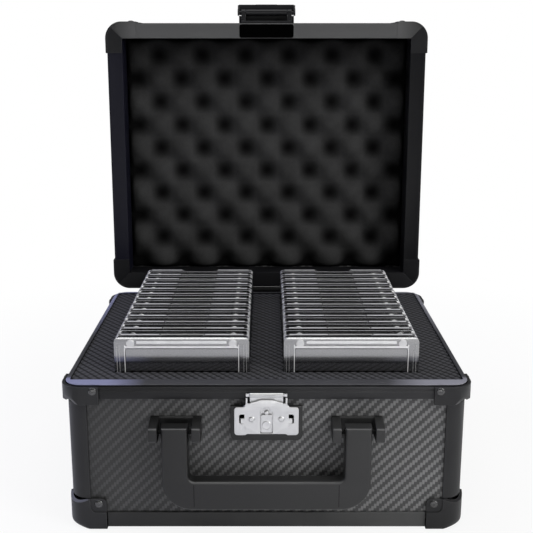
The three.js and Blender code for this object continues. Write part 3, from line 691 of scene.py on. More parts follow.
def cad_finishes():
    for side in SIDES:
        finish_node(f"base_panel_{side}", TWILL_X if side in LONG_SIDES else TWILL_Y)
        finish_node(f"base_edge_{side}", EDGE_BLACK, 0.35)
    finish_node("base_floor_panel", BOARD, 0.3)
    finish_node("lid_top_panel", TWILL_X, 0.3)
    for side in ("left", "right"):
        finish_node(f"handle_pin_{side}", BEAD_BLACK, 0.2)
        finish_node(f"hinge_pin_{side}", PIN_STEEL, 0.15)
        finish_node(f"base_hinge_leaf_{side}", HINGE_BLACK, 0.2)
        finish_node(f"lid_hinge_leaf_{side}", HINGE_BLACK, 0.2)
    finish_node("latch_pin", LATCH_BLACK, 0.15)
    finish_node("latch_mount", LATCH_BLACK, 0.35)
    finish_node("latch_hook", LATCH_BLACK, 0.2)


# ---- frame of the base

CORNER_RADIUS = 11.0
LIP_WIDTH = 3.4
RIM_PROUD = 1.3
RIM_CORNER_LEG = 22.8
CAP_PROUD = 1.5
CAP_LEG = 23.0
CAP_HEIGHT = POST_LOW - 0.3


def corner_angle(leg, wall, radius):
    """Outline of an angle round a corner: outer corner at the origin, reaching towards +x and +y."""
    outline = [(leg, 0), (leg, wall)]
    if radius > wall:
        outline += arc(radius, radius, radius - wall, 270, 180, 14)
    else:
        outline.append((wall, wall))
    outline += [(wall, leg), (0, leg)]
    return outline + arc(radius, radius, radius, 180, 270, 18)


def cut_diagonally(bm, outline):
    """Cuts a corner piece straight across its diagonal; the outline runs along the sides and up."""
    turn = Matrix.Rotation(radians(45), 4, "Z") @ ALONG_Y
    return cut(bm, drawn(prism, [(s / sqrt(2), z) for s, z in outline], turn, -60, 60))


def base_rim_rails():
    """Rails with a rounded bead at the top, a shadow groove under it and a flat leg."""
    leg = RIM_TOP - RIM_LOW
    wall = 1.4
    top = -1.3
    profile = [(0.0, -2.2)] + arc(0.6, top - 0.6, 0.6, 180, 90, 5)
    profile += [(LIP_WIDTH, top), (LIP_WIDTH, top - 0.8), (wall, top - 0.8), (wall, -leg), (0.55, -leg)]
    profile += [(0.35, -leg + 0.3), (0.35, -4.4), (0.75, -4.0), (0.75, -2.8), (0.15, -2.4)]
    for side in SIDES:
        _, out, end = side_measures(side)
        bm = drawn(prism, [(y, RIM_TOP + z) for y, z in profile], ALONG_X, -end, end)
        finish = RIM_FRONT_BLACK if side == "front" else FRAME_BLACK
        piece(f"rim_rail_{side}", bm, "base", finish, f"base_rim_{side}",
              on_side(side, out))


def rim_lip():
    """The lip on which the lid closes, wider at the front and brightened by painted reflections, and the seal
    it sits on, near-black as painted shade.
    """
    inner_x = RIM_X - LIP_WIDTH
    opening = rounded(-inner_x, inner_x, -RIM_Y + 9.0, RIM_Y - LIP_WIDTH, 1.2, 4)
    for name, inset, low, high, edge, material in (("rim_lip", 1.0, 0.72, 0.0, 0.25, LIP_SHEEN),
                                                   ("rim_shade_seal", 1.5, 1.28, 0.74, 0.05, SHADOW_GAP)):
        x, y = RIM_X - inset, RIM_Y - inset
        outer = rounded(-x, x, -y, y, CORNER_RADIUS - inset, 12)
        bm = plate([outer, opening], LEVEL, RIM_TOP - low, RIM_TOP - high, edge, 2)
        piece(name, bm, "base", material)


def base_rim_corners():
    """Brackets round the corners of the rim, with a lower edge that rises towards the corner itself."""
    drop = 12.0
    full_at = 11.0
    rise = 1.45 * full_at
    outline = corner_angle(RIM_CORNER_LEG, 0.6 + RIM_PROUD, CORNER_RADIUS + RIM_PROUD)
    bm = drawn(prism, outline, LEVEL, -drop, -1.1)
    bm = cut_diagonally(bm, [(0, -drop + rise), (full_at, -drop), (full_at, -drop - 8), (0, -drop - 8)])
    corner_pieces("rim_bracket", bm, (RIM_X + RIM_PROUD, RIM_Y + RIM_PROUD), RIM_TOP, "base", CAP_BLACK,
                  "base_rim_corner", 0.35)


def base_posts():
    bm = drawn(prism, corner_angle(12.2, 1.2, CORNER_RADIUS), LEVEL, POST_LOW, POST_TOP)
    corner_pieces("corner_post", bm, (BASE_X, BASE_Y), 0, "base", FRAME_BLACK,
                  "base_corner_post", 0.25)


def turned_in(radius, z):
    """How far a bottom edge of this radius stands back at height z."""
    return radius - sqrt(radius ** 2 - (radius - z) ** 2) if z < radius else 0.0


def corner_block(leg, radius, z):
    """A square with one rounded corner at height z, over a bottom edge that is rounder at the corner."""
    along = turned_in(1.4, z)
    extra = turned_in(4.8, z) - along
    outline = []
    for i in range(19):
        angle = radians(180 + 5 * i)
        reach = radius - along - extra * sin(2 * angle)
        outline.append((radius + reach * cos(angle), radius + reach * sin(angle), z))
    return outline + [(leg, along, z), (leg, leg, z), (along, leg, z)]


def pressed_cap(leg, height, radius, wall, arm_z, tab_drop):
    """A pressed cap over three edges: a raised angle on both upright faces and a lower tab in its arms."""
    levels = (0, 0.1, 0.4, 0.9, 1.4, 2.4, 3.5, 4.8, height)
    shell = drawn(stack, [corner_block(leg, radius, z) for z in levels])
    beyond = leg + 5
    inner = arc(radius, radius, radius - wall, 180, 270, 18)
    inner += [(beyond, wall), (beyond, beyond), (wall, beyond)]
    shell = cut(shell, drawn(prism, inner, LEVEL, 4.9, height + 1))
    arm_x, bend, tip = 13.6, 3.5, 3
    window = arc(arm_x + bend, arm_z + bend, bend, 270, 180, 6)
    window += [(arm_x, height + 5), (beyond, height + 5), (beyond, arm_z)]
    corner = arc(leg - tip, height - tip, tip, 0, 90, 6)
    corner += [(leg - tip, height + 1), (leg + 1, height + 1), (leg + 1, height - tip)]
    for turn in (ALONG_Y, ALONG_X):
        shell = cut(shell, drawn(prism, window, turn, -1, tab_drop))
        shell = cut(shell, drawn(prism, corner, turn, -1, wall + 0.5))
    full_at = 13.0
    over = height + 8
    return cut_diagonally(shell, [(0, height - 6.7), (full_at, height), (full_at, over), (0, over)])


def base_caps():
    bm = pressed_cap(CAP_LEG, CAP_HEIGHT, CORNER_RADIUS + CAP_PROUD, CAP_PROUD, 11.2, 0.8)
    corner_pieces("corner_cap", bm, (BASE_X + CAP_PROUD, BASE_Y + CAP_PROUD), 0, "base", CAP_BLACK,
                  "base_corner_cap", 0.2)


def rivet_pairs(name, body, rows):
    """A rivet on both faces of every corner, for rows of (half x, half y, inset, z, sink, radius, height)."""
    bm = bmesh.new()
    for side_x, side_y in CORNERS.values():
        for x, y, inset, z, sink, radius, height in rows:
            rivet(bm, (side_x * (x - inset), side_y * (y - sink), z), (0, side_y, 0), radius, height)
            rivet(bm, (side_x * (x - sink), side_y * (y - inset), z), (side_x, 0, 0), radius, height)
    piece(name, bm, body, RIVET_BLACK)


def base_rivets():
    tab_out = CAP_PROUD - 0.8
    rivet_pairs("base_rivets", "base", (
        (RIM_X + RIM_PROUD, RIM_Y + RIM_PROUD, 19.5, RIM_TOP - 3.55, 0.1, 2.4, 0.95),
        (BASE_X + tab_out, BASE_Y + tab_out, 17.9, CAP_HEIGHT - 3.2, 0, 2.5, 1.1)))


# ---- foam insert and card holders

FOAM_LOW, FOAM_HIGH = node_box("foam_insert")
ROW_LOW, ROW_HIGH = node_box("card_row_right")
HOLDERS = 13
HOLDER_DEPTH = 7.0
HOLDER_PITCH = (ROW_HIGH.y - ROW_LOW.y - HOLDER_DEPTH) / (HOLDERS - 1)
HOLDER_WIDTH = ROW_HIGH.x - ROW_LOW.x
SLOT_GAP = 0.3


def grid_lines(low, high, step, marks=()):
    """Evenly spread lines from low to high that also pass through every mark."""
    stops = sorted({round(low, 4), round(high, 4), *(round(m, 4) for m in marks)})
    lines = []
    for first, last in zip(stops, stops[1:]):
        count = max(1, round((last - first) / step))
        lines += [first + (last - first) * i / count for i in range(count)]
    return lines + [stops[-1]]


def close_sheet(bm, layers, columns, rows, is_open=lambda i, j: False):
    """Faces of a sheet over a grid: both layers, and a wall wherever a square has no neighbour."""
    def is_solid(i, j):
        return 0 <= i < columns and 0 <= j < rows and not is_open(i, j)

    for i in range(columns):
        for j in range(rows):
            if not is_solid(i, j):
                continue
            square = ((i, j), (i + 1, j), (i + 1, j + 1), (i, j + 1))
            for layer in layers:
                bm.faces.new([layer[k] for k in square])
            neighbours = ((i, j - 1), (i + 1, j), (i, j + 1), (i - 1, j))
            for beside, first, last in zip(neighbours, square, square[1:] + square[:1]):
                if not is_solid(*beside):
                    bm.faces.new((layers[0][first], layers[0][last], layers[1][last], layers[1][first]))


def slotted_sheet(name, half_x, front, rear, low, height_at, stands_for=""):
    """Foam cut by a slot for every holder; height_at gives the height of its top face."""
    slots_y = []
    for i in range(HOLDERS):
        start = ROW_LOW.y + i * HOLDER_PITCH
        slots_y.append((start - SLOT_GAP, start + HOLDER_DEPTH + SLOT_GAP))
    x0 = ROW_LOW.x - SLOT_GAP
    x1 = ROW_HIGH.x + SLOT_GAP
    xs = grid_lines(-half_x, half_x, 1.3, (x0, x1, -x0, -x1))
    ys = grid_lines(front, rear, 1.3, [y for slot in slots_y for y in slot])
    bm = bmesh.new()
    layers = [{}, {}]
    for i, x in enumerate(xs):
        for j, y in enumerate(ys):
            layers[0][i, j] = bm.verts.new((x, y, height_at(x, y)))
            layers[1][i, j] = bm.verts.new((x, y, low))
    open_x = [x0 - 0.01 < (a + b) / 2 < x1 or -x1 < (a + b) / 2 < -x0 for a, b in zip(xs, xs[1:])]
    open_y = [any(s < (a + b) / 2 < e for s, e in slots_y) for a, b in zip(ys, ys[1:])]
    close_sheet(bm, layers, len(open_x), len(open_y), lambda i, j: open_x[i] and open_y[j])
    bmesh.ops.delete(bm, geom=[v for v in bm.verts if not v.link_faces], context="VERTS")
    piece(name, bm, "base", INSERT_FOAM, stands_for, sharp=60)


def lozenge_height(x, y):
    """Height of the foam's top sheet, pressed into lozenges that match its finish."""
    relief = 0.4
    across = pi * x * MM / LOZENGE_WIDTH
    slope = pi * (y * MM + CENTRE_Y) / LOZENGE_LENGTH
    wave = abs(sin(across + slope)) * abs(sin(across - slope)) ** 0.5
    return FOAM_HIGH.z + 0.75 - relief + relief * min(1.0, wave * 1.3)


def foam_insert():
    """The slotted block and, over it and the top of the walls, the sheet with its pressed lozenges."""
    slotted_sheet("slotted_foam", FOAM_HIGH.x, FOAM_LOW.y, FOAM_HIGH.y, FOAM_LOW.z,
                  lambda x, y: FOAM_HIGH.z - 0.05, "foam_insert")
    reach = LIP_WIDTH + 0.1
    slotted_sheet("foam_top_sheet", RIM_X - reach, -RIM_Y + 9.1, RIM_Y - reach, FOAM_HIGH.z, lozenge_height)


def holder_shell(front, back):
    """One half of a holder: a frame round its window. Drawn from x = 0, facing the front."""
    low, high = ROW_LOW.z, ROW_HIGH.z
    outer = rounded(0, HOLDER_WIDTH, low, high, 3.2, 5)
    window = rounded(6.8, HOLDER_WIDTH - 6.8, low + 7, high - 7.4, 1.2, 3)
    return plate([outer, window], FACING_FRONT, -back, -front, 0.25, 2)


def notched_shell(front, back):
    """A holder's rear half, with the finger notch in the middle of its top edge."""
    middle, high = HOLDER_WIDTH / 2, ROW_HIGH.z
    notch = rounded(middle - 13, middle + 13, high - 0.8, high + 4, 0.7, 3)
    return cut(holder_shell(front, back), drawn(prism, notch, FACING_FRONT, -back - 1, -front + 1))


def holder_ribs():
    """White lines of painted highlight: two ribs at the top of the front face, three down each side, the rear
    top edge.
    """
    low, high, width = ROW_LOW.z, ROW_HIGH.z, HOLDER_WIDTH
    bm = bmesh.new()
    for drop, thick, inset in ((3.0, 1.7, 13.5), (6.0, 1.3, 6.8)):
        middle = high - drop
        rib = rounded(inset, width - inset, middle - thick / 2, middle + thick / 2, 0.3, 2)
        prism(bm, rib, FACING_FRONT, -0.35, 0.15)
    for inset, thick in ((1.7, 0.07), (3.3, 0.07), (6.4, 0.25)):
        for x in (inset, width - inset):
            line = rounded(x - thick, x + thick, low + 5, high - 4.5, 0.1, 2)
            prism(bm, line, FACING_FRONT, -0.35, 0.1)
    notch = 13.6
    for x0, x1 in ((3.6, width / 2 - notch), (width / 2 + notch, width - 3.6)):
        block(bm, x0, x1, 5.2, 6.6, high - 0.5, high + 0.04)
    return bm


def one_holder():
    """Meshes of one holder, each with its finish."""
    low, high, width = ROW_LOW.z, ROW_HIGH.z, HOLDER_WIDTH
    panes = bmesh.new()
    for y in (0.8, 5.8):
        x0, x1, z0, z1 = 6.9, width - 6.9, low + 7.1, high - 7.5
        prism(panes, [(x0, z0), (x1, z0), (x1, z1), (x0, z1)], FACING_FRONT, -y - 0.7, -y)
    card = drawn(prism, rounded(1.6, width - 1.6, low + 1.6, high - 1.4, 2.5, 4), FACING_FRONT, -4.8, -2.4)
    magnets = bmesh.new()
    for x in (9.8, width - 9.8):
        rod(magnets, (x, 0.1, high - 3.9), (x, 6.4, high - 3.9), 2.6, 20, 0.3)
    return (("shells", combine(holder_shell(0.3, 2.2), notched_shell(5.0, 7.0)), ACRYLIC),
            ("panes", panes, WINDOW), ("ribs", holder_ribs(), GLINT_WHITE), ("cards", card, CARD),
            ("magnets", magnets, NICKEL))


def card_rows():
    for kind, bm_of_one, material in one_holder():
        master = mesh_from(bm_of_one)
        for side, start in (("left", -ROW_HIGH.x), ("right", ROW_LOW.x)):
            bm = bmesh.new()
            for i in range(HOLDERS):
                copy = master.copy()
                copy.transform(Matrix.Translation((start, ROW_LOW.y + i * HOLDER_PITCH, 0)))
                bm.from_mesh(copy)
                bpy.data.meshes.remove(copy)
            row = f"card_row_{side}"
            stands_for = row if kind == "shells" else ""
            piece(f"holder_{kind}_{side}", bm, row, material, stands_for)


# ---- handle

ARM_WIDTH = 15.2


def carry_handle():
    """A bow with two flat-topped arms, bored for its pins."""
    low, high = node_box("carry_handle")
    half = high.x
    inner = half - ARM_WIDTH
    grip = low.z + 17.8
    radius = 17.0
    chamfer = 3.6
    outline = arc(half - radius, low.z + radius, radius, -90, 0, 14)
    outline += [(half, high.z), (inner, high.z), (inner, grip + chamfer)]
    outline += arc(inner - chamfer, grip + chamfer, chamfer, 0, -90, 5)
    blank = plate([mirrored(outline)], FACING_FRONT, -high.y, -low.y, 1.7)
    eye = (high.y - low.y) / 2
    flat = eye - 1.1
    side = arc(HANDLE_PIVOT.y, HANDLE_PIVOT.z, eye, 0, degrees(asin(flat / eye)), 10)
    side += arc(low.y + 1.3, HANDLE_PIVOT.z + flat - 1.3, 1.3, 90, 180, 5)
    side += [(low.y, low.z - 1), (high.y, low.z - 1)]
    shaped = cut(blank, drawn(prism, side, ALONG_X, -half - 1, half + 1), "INTERSECT")
    length = 2 * half + 4
    bore = [(0, 0), (1.6, 0), (1.6, length), (0, length)]
    shaped = cut(shaped, drawn(lathe, bore, (-half - 2, HANDLE_PIVOT.y, HANDLE_PIVOT.z), (1, 0, 0)))
    piece("handle_bow", shaped, "handle", PLASTIC, "carry_handle")
    seams = bmesh.new()
    for x in (-41.8, 41.8):
        block(seams, x - 0.12, x + 0.12, low.y - 0.02, low.y + 0.5, low.z + 2.2, grip - 1.6)
    piece("handle_mould_lines", seams, "handle", SHADOW_GAP)


def handle_brackets():
    """Each bracket: a back plate with rounded ends and two ears whose tops slope forwards."""
    for side in ("left", "right"):
        low, high = node_box(f"handle_bracket_{side}")
        centre = (low.x + high.x) / 2
        slot = ARM_WIDTH / 2 + 2.2
        back = rounded(low.x, high.x, low.z, high.z, 1.2, 4)
        bm = plate([back], FACING_FRONT, -high.y, -high.y + 1.3, 0.3, 2)
        ear = [(high.y, low.z), (high.y, high.z), (high.y - 3, high.z), (low.y + 2.2, high.z - 1.6)]
        ear += arc(low.y + 1.4, high.z - 3.2, 1.4, 90, 180, 5)
        ear += arc(low.y + 2.4, low.z + 2.4, 2.4, 180, 270, 5)
        for x0, x1 in ((low.x, centre - slot), (centre + slot, high.x)):
            bm = combine(bm, plate([ear], ALONG_X, x0, x1, 0.4, 2))
        piece(f"handle_mount_{side}", bm, "base", PLASTIC, f"handle_bracket_{side}")


# ---- latch parts on the base

def strike_plate_outline(low, high):
    """Right half of the plate, from its middle at the bottom to the middle of its arch."""
    half = high.x
    body_top = RIM_TOP - 12.6
    neck = 12.0
    inside = neck - 1.1
    ear_top = high.z - 3.2
    points = [(4.2, low.z + 0.7), (11.2, low.z + 0.7), (12.2, low.z)]
    points += arc(half - 2, low.z + 2, 2, -90, 0, 6)
    points += arc(half - 1.8, body_top - 1.8, 1.8, 0, 90, 6)
    points += arc(neck + 2.4, body_top + 2.4, 2.4, 270, 180, 6)
    points += [(neck, ear_top), (inside, ear_top), (inside, body_top + 2.4), (neck - 2.6, body_top + 2.4)]
    for i in range(6):
        t = i / 6
        arch = 1.6 * (0.5 - 0.5 * cos(pi * min(1, t * 1.35)))
        points.append(((neck - 3.0) * (1 - t), body_top + 3.0 + arch))
    return points + [(0.0, RIM_TOP - 8.0)]


def strike_plate():
    """The plate with its window and two L-shaped slots, its skirt, rivets and the dark liner behind it, whose
    near-black is painted shade.
    """
    low, high = node_box("strike_plate")
    front = low.y
    outline = list(dict.fromkeys(mirrored(strike_plate_outline(low, high))))
    sill, shoulder, half, arch = RIM_TOP - 28.6, RIM_TOP - 15.2, 3.5, 1.9
    window = [(-half, sill), (half, sill), (half, shoulder), (arch, shoulder)]
    window += arc(0, shoulder + 0.9, arch, 0, 180, 8) + [(-arch, shoulder), (-half, shoulder)]
    slot = [(12.8, 19.4), (12.8, 17.0), (15.0, 17.0), (15.7, 17.8), (15.7, 22.4), (14.9, 22.4), (14.9, 19.4)]
    holes = [window] + [[(sign * x, RIM_TOP - drop) for x, drop in slot] for sign in (1, -1)]
    bm = plate([outline] + holes, FACING_FRONT, -front - 1.1, -front, 0.3, 2)
    skirt = bmesh.new()
    for x0, x1 in ((-high.x + 0.2, -high.x + 1.2), (high.x - 1.2, high.x - 0.2)):
        block(skirt, x0, x1, front + 0.6, high.y, low.z + 1.6, RIM_TOP - 14.6)
    piece("strike_face", combine(bm, skirt), "base", NICKEL, "strike_plate")
    studs = bmesh.new()
    for x in (-8.5, 8.5):
        rivet(studs, (x, front + 0.05, RIM_TOP - 19.8), (0, -1, 0), 1.75, 0.75)
    for x in (-14.1, 14.1):
        spot = rounded(x - 1.15, x + 1.15, RIM_TOP - 26.4, RIM_TOP - 22.5, 0.5, 3)
        prism(studs, spot, FACING_FRONT, -front - 0.3, -front + 0.35)
    piece("strike_studs", studs, "base", NICKEL, edge=0.15)
    # painted shade: a near-black sheet behind the plate
    liner = rounded(-high.x + 1.4, high.x - 1.4, low.z + 1.2, RIM_TOP - 13.5, 1, 3)
    hole = rounded(-10.3, 10.3, node_box("keeper_slide")[0].z - 3, RIM_TOP, 0.5, 2)
    bm = cut(drawn(prism, liner, FACING_FRONT, -front - 1.62, -front - 1.3),
             drawn(prism, hole, FACING_FRONT, -front - 3, -front))
    piece("strike_shade_liner", bm, "base", SHADOW_GAP)


def keeper():
    """The slide behind the strike plate: a sheet, the rolled bar at its top, the finger tab and a knob."""
    low, high = node_box("keeper_slide")
    bar_y = -101.9
    bar_z = high.z - 1.3
    sheet_front = node_box("strike_plate")[0].y + 1.1 + 0.3
    bm = bmesh.new()
    block(bm, -9.6, 9.6, sheet_front, high.y, low.z + 0.1, bar_z)
    rod(bm, (-9.8, bar_y, bar_z), (9.8, bar_y, bar_z), 1.3, 24, 0.25)
    for x0, x1 in ((-11.9, -9.9), (9.9, 11.9)):
        block(bm, x0, x1, bar_y - 0.6, bar_y + 0.9, bar_z - 0.9, bar_z + 0.9)
    prism(bm, rounded(-3.2, 3.2, low.z, RIM_TOP - 17.2, 0.7, 4), FACING_FRONT, -high.y, -low.y - 0.35)
    dish = [(0, 0), (2.7, 0), (2.7, 0.5), (2.3, 0.75), (1.2, 0.62), (0, 0.55)]
    knob = [(0, 0), (1.45, 0), (1.2, 0.45), (0.7, 0.65), (0, 0.72)]
    lathe(bm, dish, (0, low.y + 0.75, low.z + 4.7), (0, -1, 0), 28)
    lathe(bm, knob, (0, low.y + 1.0, RIM_TOP - 16.1), (0, -1, 0), 20)
    piece("keeper_bar", bm, "keeper", NICKEL, "keeper_slide", edge=0.2)


def latch_pad():
    """Black backing under the strike plate, with a narrower tongue up behind its ears."""
    low, high = node_box("latch_pad")
    shoulder = RIM_TOP - 13.4
    outline = arc(high.x - 3, low.z + 3, 3, -90, 0, 6)
    outline += [(high.x, shoulder), (12.4, shoulder), (12.4, high.z)]
    bm = plate([mirrored(outline)], FACING_FRONT, -high.y, -low.y, 0.4, 2)
    piece("latch_backing", bm, "base", PLASTIC, "latch_pad")


# ---- lid

LID_DEPTH = 40.0
LID_TOP = LID_BASE + LID_DEPTH + LID_PROUD
LID_BAND = 11.0
LINING_DEPTH = 22.0


def lid_walls():
    """Walls with a sloped band round the opening, a lining behind it and a flange over the top panel."""
    band_fall = 1.3
    wall = 1.5
    inner = LID_BAND - 1.4
    flange_low = LID_DEPTH - 3.7
    profile = arc(0.3, 0.3, 0.3, 180, 270, 4)
    profile += [(1.6, 0.05), (2.2, 0.3), (LID_BAND - 0.8, band_fall), (LID_BAND - 0.2, band_fall + 0.1)]
    profile += [(LID_BAND, band_fall + 0.4), (LID_BAND, LINING_DEPTH), (inner, LINING_DEPTH)]
    profile += [(inner, wall + 1.2), (wall, wall + 0.6), (wall, flange_low), (12.0, flange_low)]
    profile += [(12.0, LID_DEPTH - 0.4)]
    profile += [(11.6, LID_DEPTH)] + arc(1.6, LID_DEPTH - 1.6, 1.6, 90, 180, 5)
    profile += [(0, 27.2), (0.4, 26.9), (0.4, 26.1), (0, 25.8)]
    # the front side takes a painted highlight on its band, the left side a painted bluish reflection
    finishes = {"front": LID_BAND_PAINTED_LIGHT, "left": LID_LEFT_BLUE_SHEEN}
    for side in SIDES:
        half, out, end = side_measures(side)
        bm = drawn(prism, [(y, LID_BASE + z) for y, z in profile], ALONG_X, -end, end)
        lining_end = half - (inner if side in LONG_SIDES else LID_BAND + 0.3)
        block(bm, -lining_end, lining_end, inner + 0.02, LID_BAND - 0.02, LID_BASE + band_fall + 1.0,
              LID_BASE + LINING_DEPTH - 0.02)
        piece(f"lid_side_{side}", bm, "lid", finishes.get(side, LID_BLACK),
              f"lid_wall_{side}", on_side(side, out))


def lid_rim_corners():
    """Mitred corner pieces: a wrap round the wall and a sloped band that lies on the walls' own."""
    radius = CORNER_RADIUS + LID_PROUD
    leg = RIM_CORNER_LEG
    band = LID_BAND + LID_PROUD
    outer_z, inner_z = -0.25, 1.15
    spots = ((0.3, 0.3, outer_z), (leg, 0.3, outer_z), (leg, band, inner_z), (band, band, inner_z))
    bm = drawn(prism, corner_angle(leg, LID_PROUD, radius), LEVEL, outer_z, 16.7)
    for turn in (LEVEL, SWAP_XY):
        low = [turn @ Vector(spot) for spot in spots]
        arm = drawn(stack, [low, [spot + Vector((0, 0, 1.4)) for spot in low]])
        hold = drawn(prism, corner_angle(leg, band, radius), LEVEL, -1, 5)
        bm = combine(bm, cut(arm, hold, "INTERSECT"))
    corner_pieces("lid_bracket", bm, (RIM_X + LID_PROUD, RIM_Y + LID_PROUD), LID_BASE, "lid",
                  lambda corner: LID_BAND_PAINTED_LIGHT if corner.startswith("front") else LID_BLACK,
                  "lid_rim_corner", 0.25)


def lid_caps():
    height = LID_DEPTH + LID_PROUD - 17.0
    bm = pressed_cap(RIM_CORNER_LEG, height, CORNER_RADIUS + LID_PROUD, LID_PROUD, 14.0, 0.6)
    corner_pieces("lid_cap", bm, (RIM_X + LID_PROUD, RIM_Y + LID_PROUD), LID_TOP, "lid", CAP_BLACK,
                  "lid_corner_cap", 0.2, upside_down=True)


def lid_rivets():
    x = RIM_X + LID_PROUD
    y = RIM_Y + LID_PROUD
    rivet_pairs("lid_rivets", "lid", (
        (x, y, 18.6, LID_BASE + 5.5, 0.1, 2.2, 0.9),
        (x, y, 18.6, LID_TOP - 19.0, 0.6, 2.2, 0.9)))


def egg_crate():
    """A sheet of peaks and hollows that fills the lid behind its lining."""
    pitch_x = 33.4
    pitch_y = 35.8
    row_y = 12.4
    inset = 9.9
    half_x = RIM_X - inset
    half_y = RIM_Y - inset
    peak = LID_BASE + LINING_DEPTH + 0.35
    back = LID_BASE + 31.6
    depth = back - peak - 0.6
    xs = grid_lines(-half_x, half_x, 1.9)
    ys = grid_lines(-half_y, half_y, 1.9)
    bm = bmesh.new()
    # painted shade for the foam's finish: deep hollows and the skin near the walls are darkened
    shade_layer = bm.verts.layers.float.new("hollow")
    layers = [{}, {}]
    for layer in layers:
        for i, x in enumerate(xs):
            for j, y in enumerate(ys):
                wave = cos(2 * pi * x / pitch_x) * cos(2 * pi * (y - row_y) / pitch_y)
                hollow = (0.5 + 0.5 * wave) ** 1.15
                # skin raises the foam near the walls and also darkens it there as painted shade
                skin = 0.8 * exp(-min(half_x - abs(x), half_y - abs(y)) / 2.0)
                z = peak + depth * min(1.0, hollow + skin * 0.4) if layer is layers[0] else back
                layer[i, j] = bm.verts.new((x, y, z))
                layer[i, j][shade_layer] = hollow + 1.6 * skin
    close_sheet(bm, layers, len(xs) - 1, len(ys) - 1)
    piece("egg_crate_sheet", bm, "lid", EGG_FOAM, "lid_egg_crate_foam", sharp=80)


def latch_lever():
    """The folding lever: a dished face with rounded ends, cheeks down both sides and a turned-in lip."""
    half, length = 21.3, 36.6
    barrel_end = 15.2
    wall_end = half - 1.0
    pin_low, pin_high = node_box("latch_pin")
    clearance = (pin_high.y - pin_low.y) / 2 + 0.15

    def bored(bm):
        return cut(bm, drawn(rod, (-24, 0, 0), (24, 0, 0), clearance, 24, 0.1))

    face = plate([rounded(-half, half, -length, -3.2, 2.4, 6)], FACING_FRONT, -0.3, 0.9, 0.35, 2)
    cheek = arc(0, 0, 2.6, 180, 0, 10)
    cheek += [(2.6, -3.0), (5.4, -6.0), (5.4, -length + 1.5)]
    cheek += [(4.4, -length), (-0.6, -length + 0.4), (-0.6, -3.0)]
    cheeks = [bored(plate([cheek], ALONG_X, x, x + 1.2, 0.2, 1)) for x in (-half, half - 1.2)]
    walls = bmesh.new()
    block(walls, -wall_end, wall_end, -0.5, 5.4, -length, -length + 1.2)
    block(walls, -wall_end, wall_end, 0.5, 5.6, -5.4, -4.4)
    block(walls, -barrel_end, barrel_end, -0.9, 0.3, -4.2, -1.5)
    barrel = bored(drawn(rod, (-barrel_end, 0, 0), (barrel_end, 0, 0), 2.2, 24, 0.2))
    piece("lever_body", combine(face, *cheeks, walls, barrel), "latch_lever", LATCH_BLACK,
          "latch_lever")


def lever_rest():
    """A low rubber pad on the lid's front wall, on which the folded lever lies."""
    bm = drawn(block, -15.8, 15.8, LEVER_PIVOT.y + 1.05, -RIM_Y + 0.2, LEVER_PIVOT.z + 20, LEVER_PIVOT.z + 28)
    piece("lever_rest_pad", bm, "lid", LATCH_BLACK, edge=0.1)


def latch_shadow_plate():
    """A black plate on the lid's band, where the latch passes: a painted shadow of the latch."""
    bm = plate([rounded(-20.0, 20.0, 0.8, LID_BAND - 0.4, 1.5, 4)], LEVEL, -0.28, 0.6, 0.2, 2)
    bmesh.ops.rotate(bm, verts=bm.verts, matrix=Matrix.Rotation(atan2(1.2, 9), 3, "X"))
    piece("latch_shadow_plate", bm, "lid", SHADOW_GAP, at=Matrix.Translation((0, -RIM_Y, LID_BASE)))


def hinge_bead():
    """The round rear edge of the base, in line with the hinge knuckles and between them."""
    bm = bmesh.new()
    inner, outer, end = 51.5, 88.5, 95.9
    for x0, x1 in ((-inner, inner), (outer, end), (-end, -outer)):
        rod(bm, (x0, HINGE.y, HINGE.z), (x1, HINGE.y, HINGE.z), 2.8, 28, 0.3)
        block(bm, x0 + 0.3, x1 - 0.3, RIM_Y - 0.3, HINGE.y, HINGE.z - 2.2, HINGE.z - 1.2)
    piece("hinge_bead", bm, "base", BEAD_BLACK)


def hinge_screws():
    """Three countersunk screws in every hinge leaf."""
    head = [(0, 0), (1.9, 0), (1.7, 0.3), (1.0, 0.42), (0.5, 0.3), (0, 0.12)]
    for body, z in (("base", HINGE.z - 11.5), ("lid", HINGE.z + 11.5)):
        bm = bmesh.new()
        for side in ("left", "right"):
            low, high = node_box(f"base_hinge_leaf_{side}")
            for x in (-12.5, 0, 12.5):
                lathe(bm, head, ((low.x + high.x) / 2 + x, RIM_Y + 1.25, z), (0, 1, 0), 18)
        piece(f"{body}_hinge_screws", bm, body, PIN_STEEL)


# ---- stage, light and camera

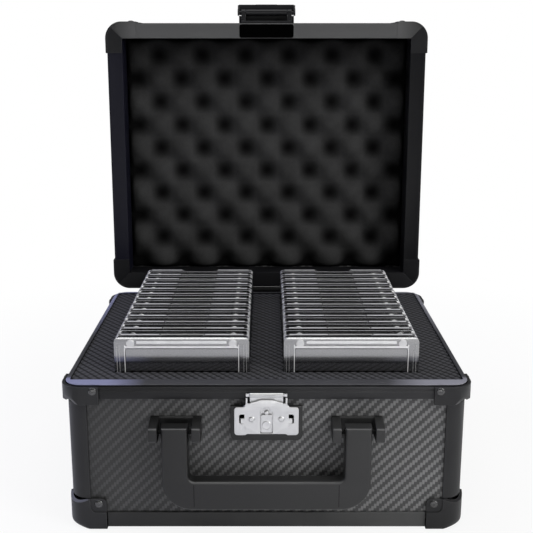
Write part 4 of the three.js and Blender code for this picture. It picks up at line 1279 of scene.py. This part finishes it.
def stage():
    bm = drawn(lambda grid: bmesh.ops.create_grid(grid, x_segments=8, y_segments=8, size=30.0))
    mesh = bpy.data.meshes.new("floor")
    bm.to_mesh(mesh)
    bm.free()
    floor = linked("floor", mesh)
    floor.location.z = -0.0002
    floor.data.materials.append(pale_floor("pale_floor"))


def area_light(name, position, target, size, power, colour=(1, 1, 1)):
    data = bpy.data.lights.new(name, "AREA")
    data.shape = "RECTANGLE"
    data.size, data.size_y = size
    data.energy = power
    data.color = colour
    light = linked(name, data)
    light.location = position
    aim = Vector(target) - Vector(position)
    light.rotation_euler = aim.to_track_quat("-Z", "Y").to_euler()


def lights():
    """A dim studio for reflections, a white one behind, soft lights above, right and, bluish, on the left."""
    world = bpy.data.worlds.new("studio")
    SCENE.world = world
    world.use_nodes = True
    sky = Nodes(world.node_tree)
    seen = sky.node("LightPath")["Is Camera Ray"]
    values = {"Color": 1.0, "Strength": sky.ramp(seen, 0.0, 1.0, 0.14, 1.0)}
    sky.feed(sky.tree.nodes["Background"].inputs, values)
    aim = (0, CENTRE_Y, 0.1)
    area_light("key_right", (1.0, -0.8, 0.7), aim, (0.6, 0.8), 10)
    area_light("top", (0.0, -0.2, 1.3), aim, (1.2, 1.0), 7.5)
    area_light("left_rim", (-1.1, 0.2, 0.7), aim, (0.5, 0.9), 8, (0.72, 0.74, 1.0))
    area_light("low_front", (0, -1.15, 0.04), (0, 0.1, 0.3), (1.0, 0.12), 1.2)


def camera():
    """A long lens in front of the case and a little above it, tilted down."""
    data = bpy.data.cameras.new("camera")
    data.lens = 62.82
    data.sensor_width = 36.0
    data.shift_y = -0.002626642
    data.clip_end = 100
    view = linked("camera", data)
    view.location = (0, CENTRE_Y - 0.60043, 0.28655)
    view.rotation_euler = (radians(90 - 13.9), 0, 0)
    SCENE.camera = view


cad_finishes()
for build in (base_rim_rails, rim_lip, base_rim_corners, base_posts, base_caps, base_rivets, foam_insert,
              card_rows, carry_handle, handle_brackets, strike_plate, keeper, latch_pad, lid_walls,
              lid_rim_corners, lid_caps, lid_rivets, egg_crate, latch_lever, lever_rest, latch_shadow_plate,
              hinge_bead, hinge_screws, stage, lights, camera):
    build()
SCENE.view_settings.view_transform = "Standard"
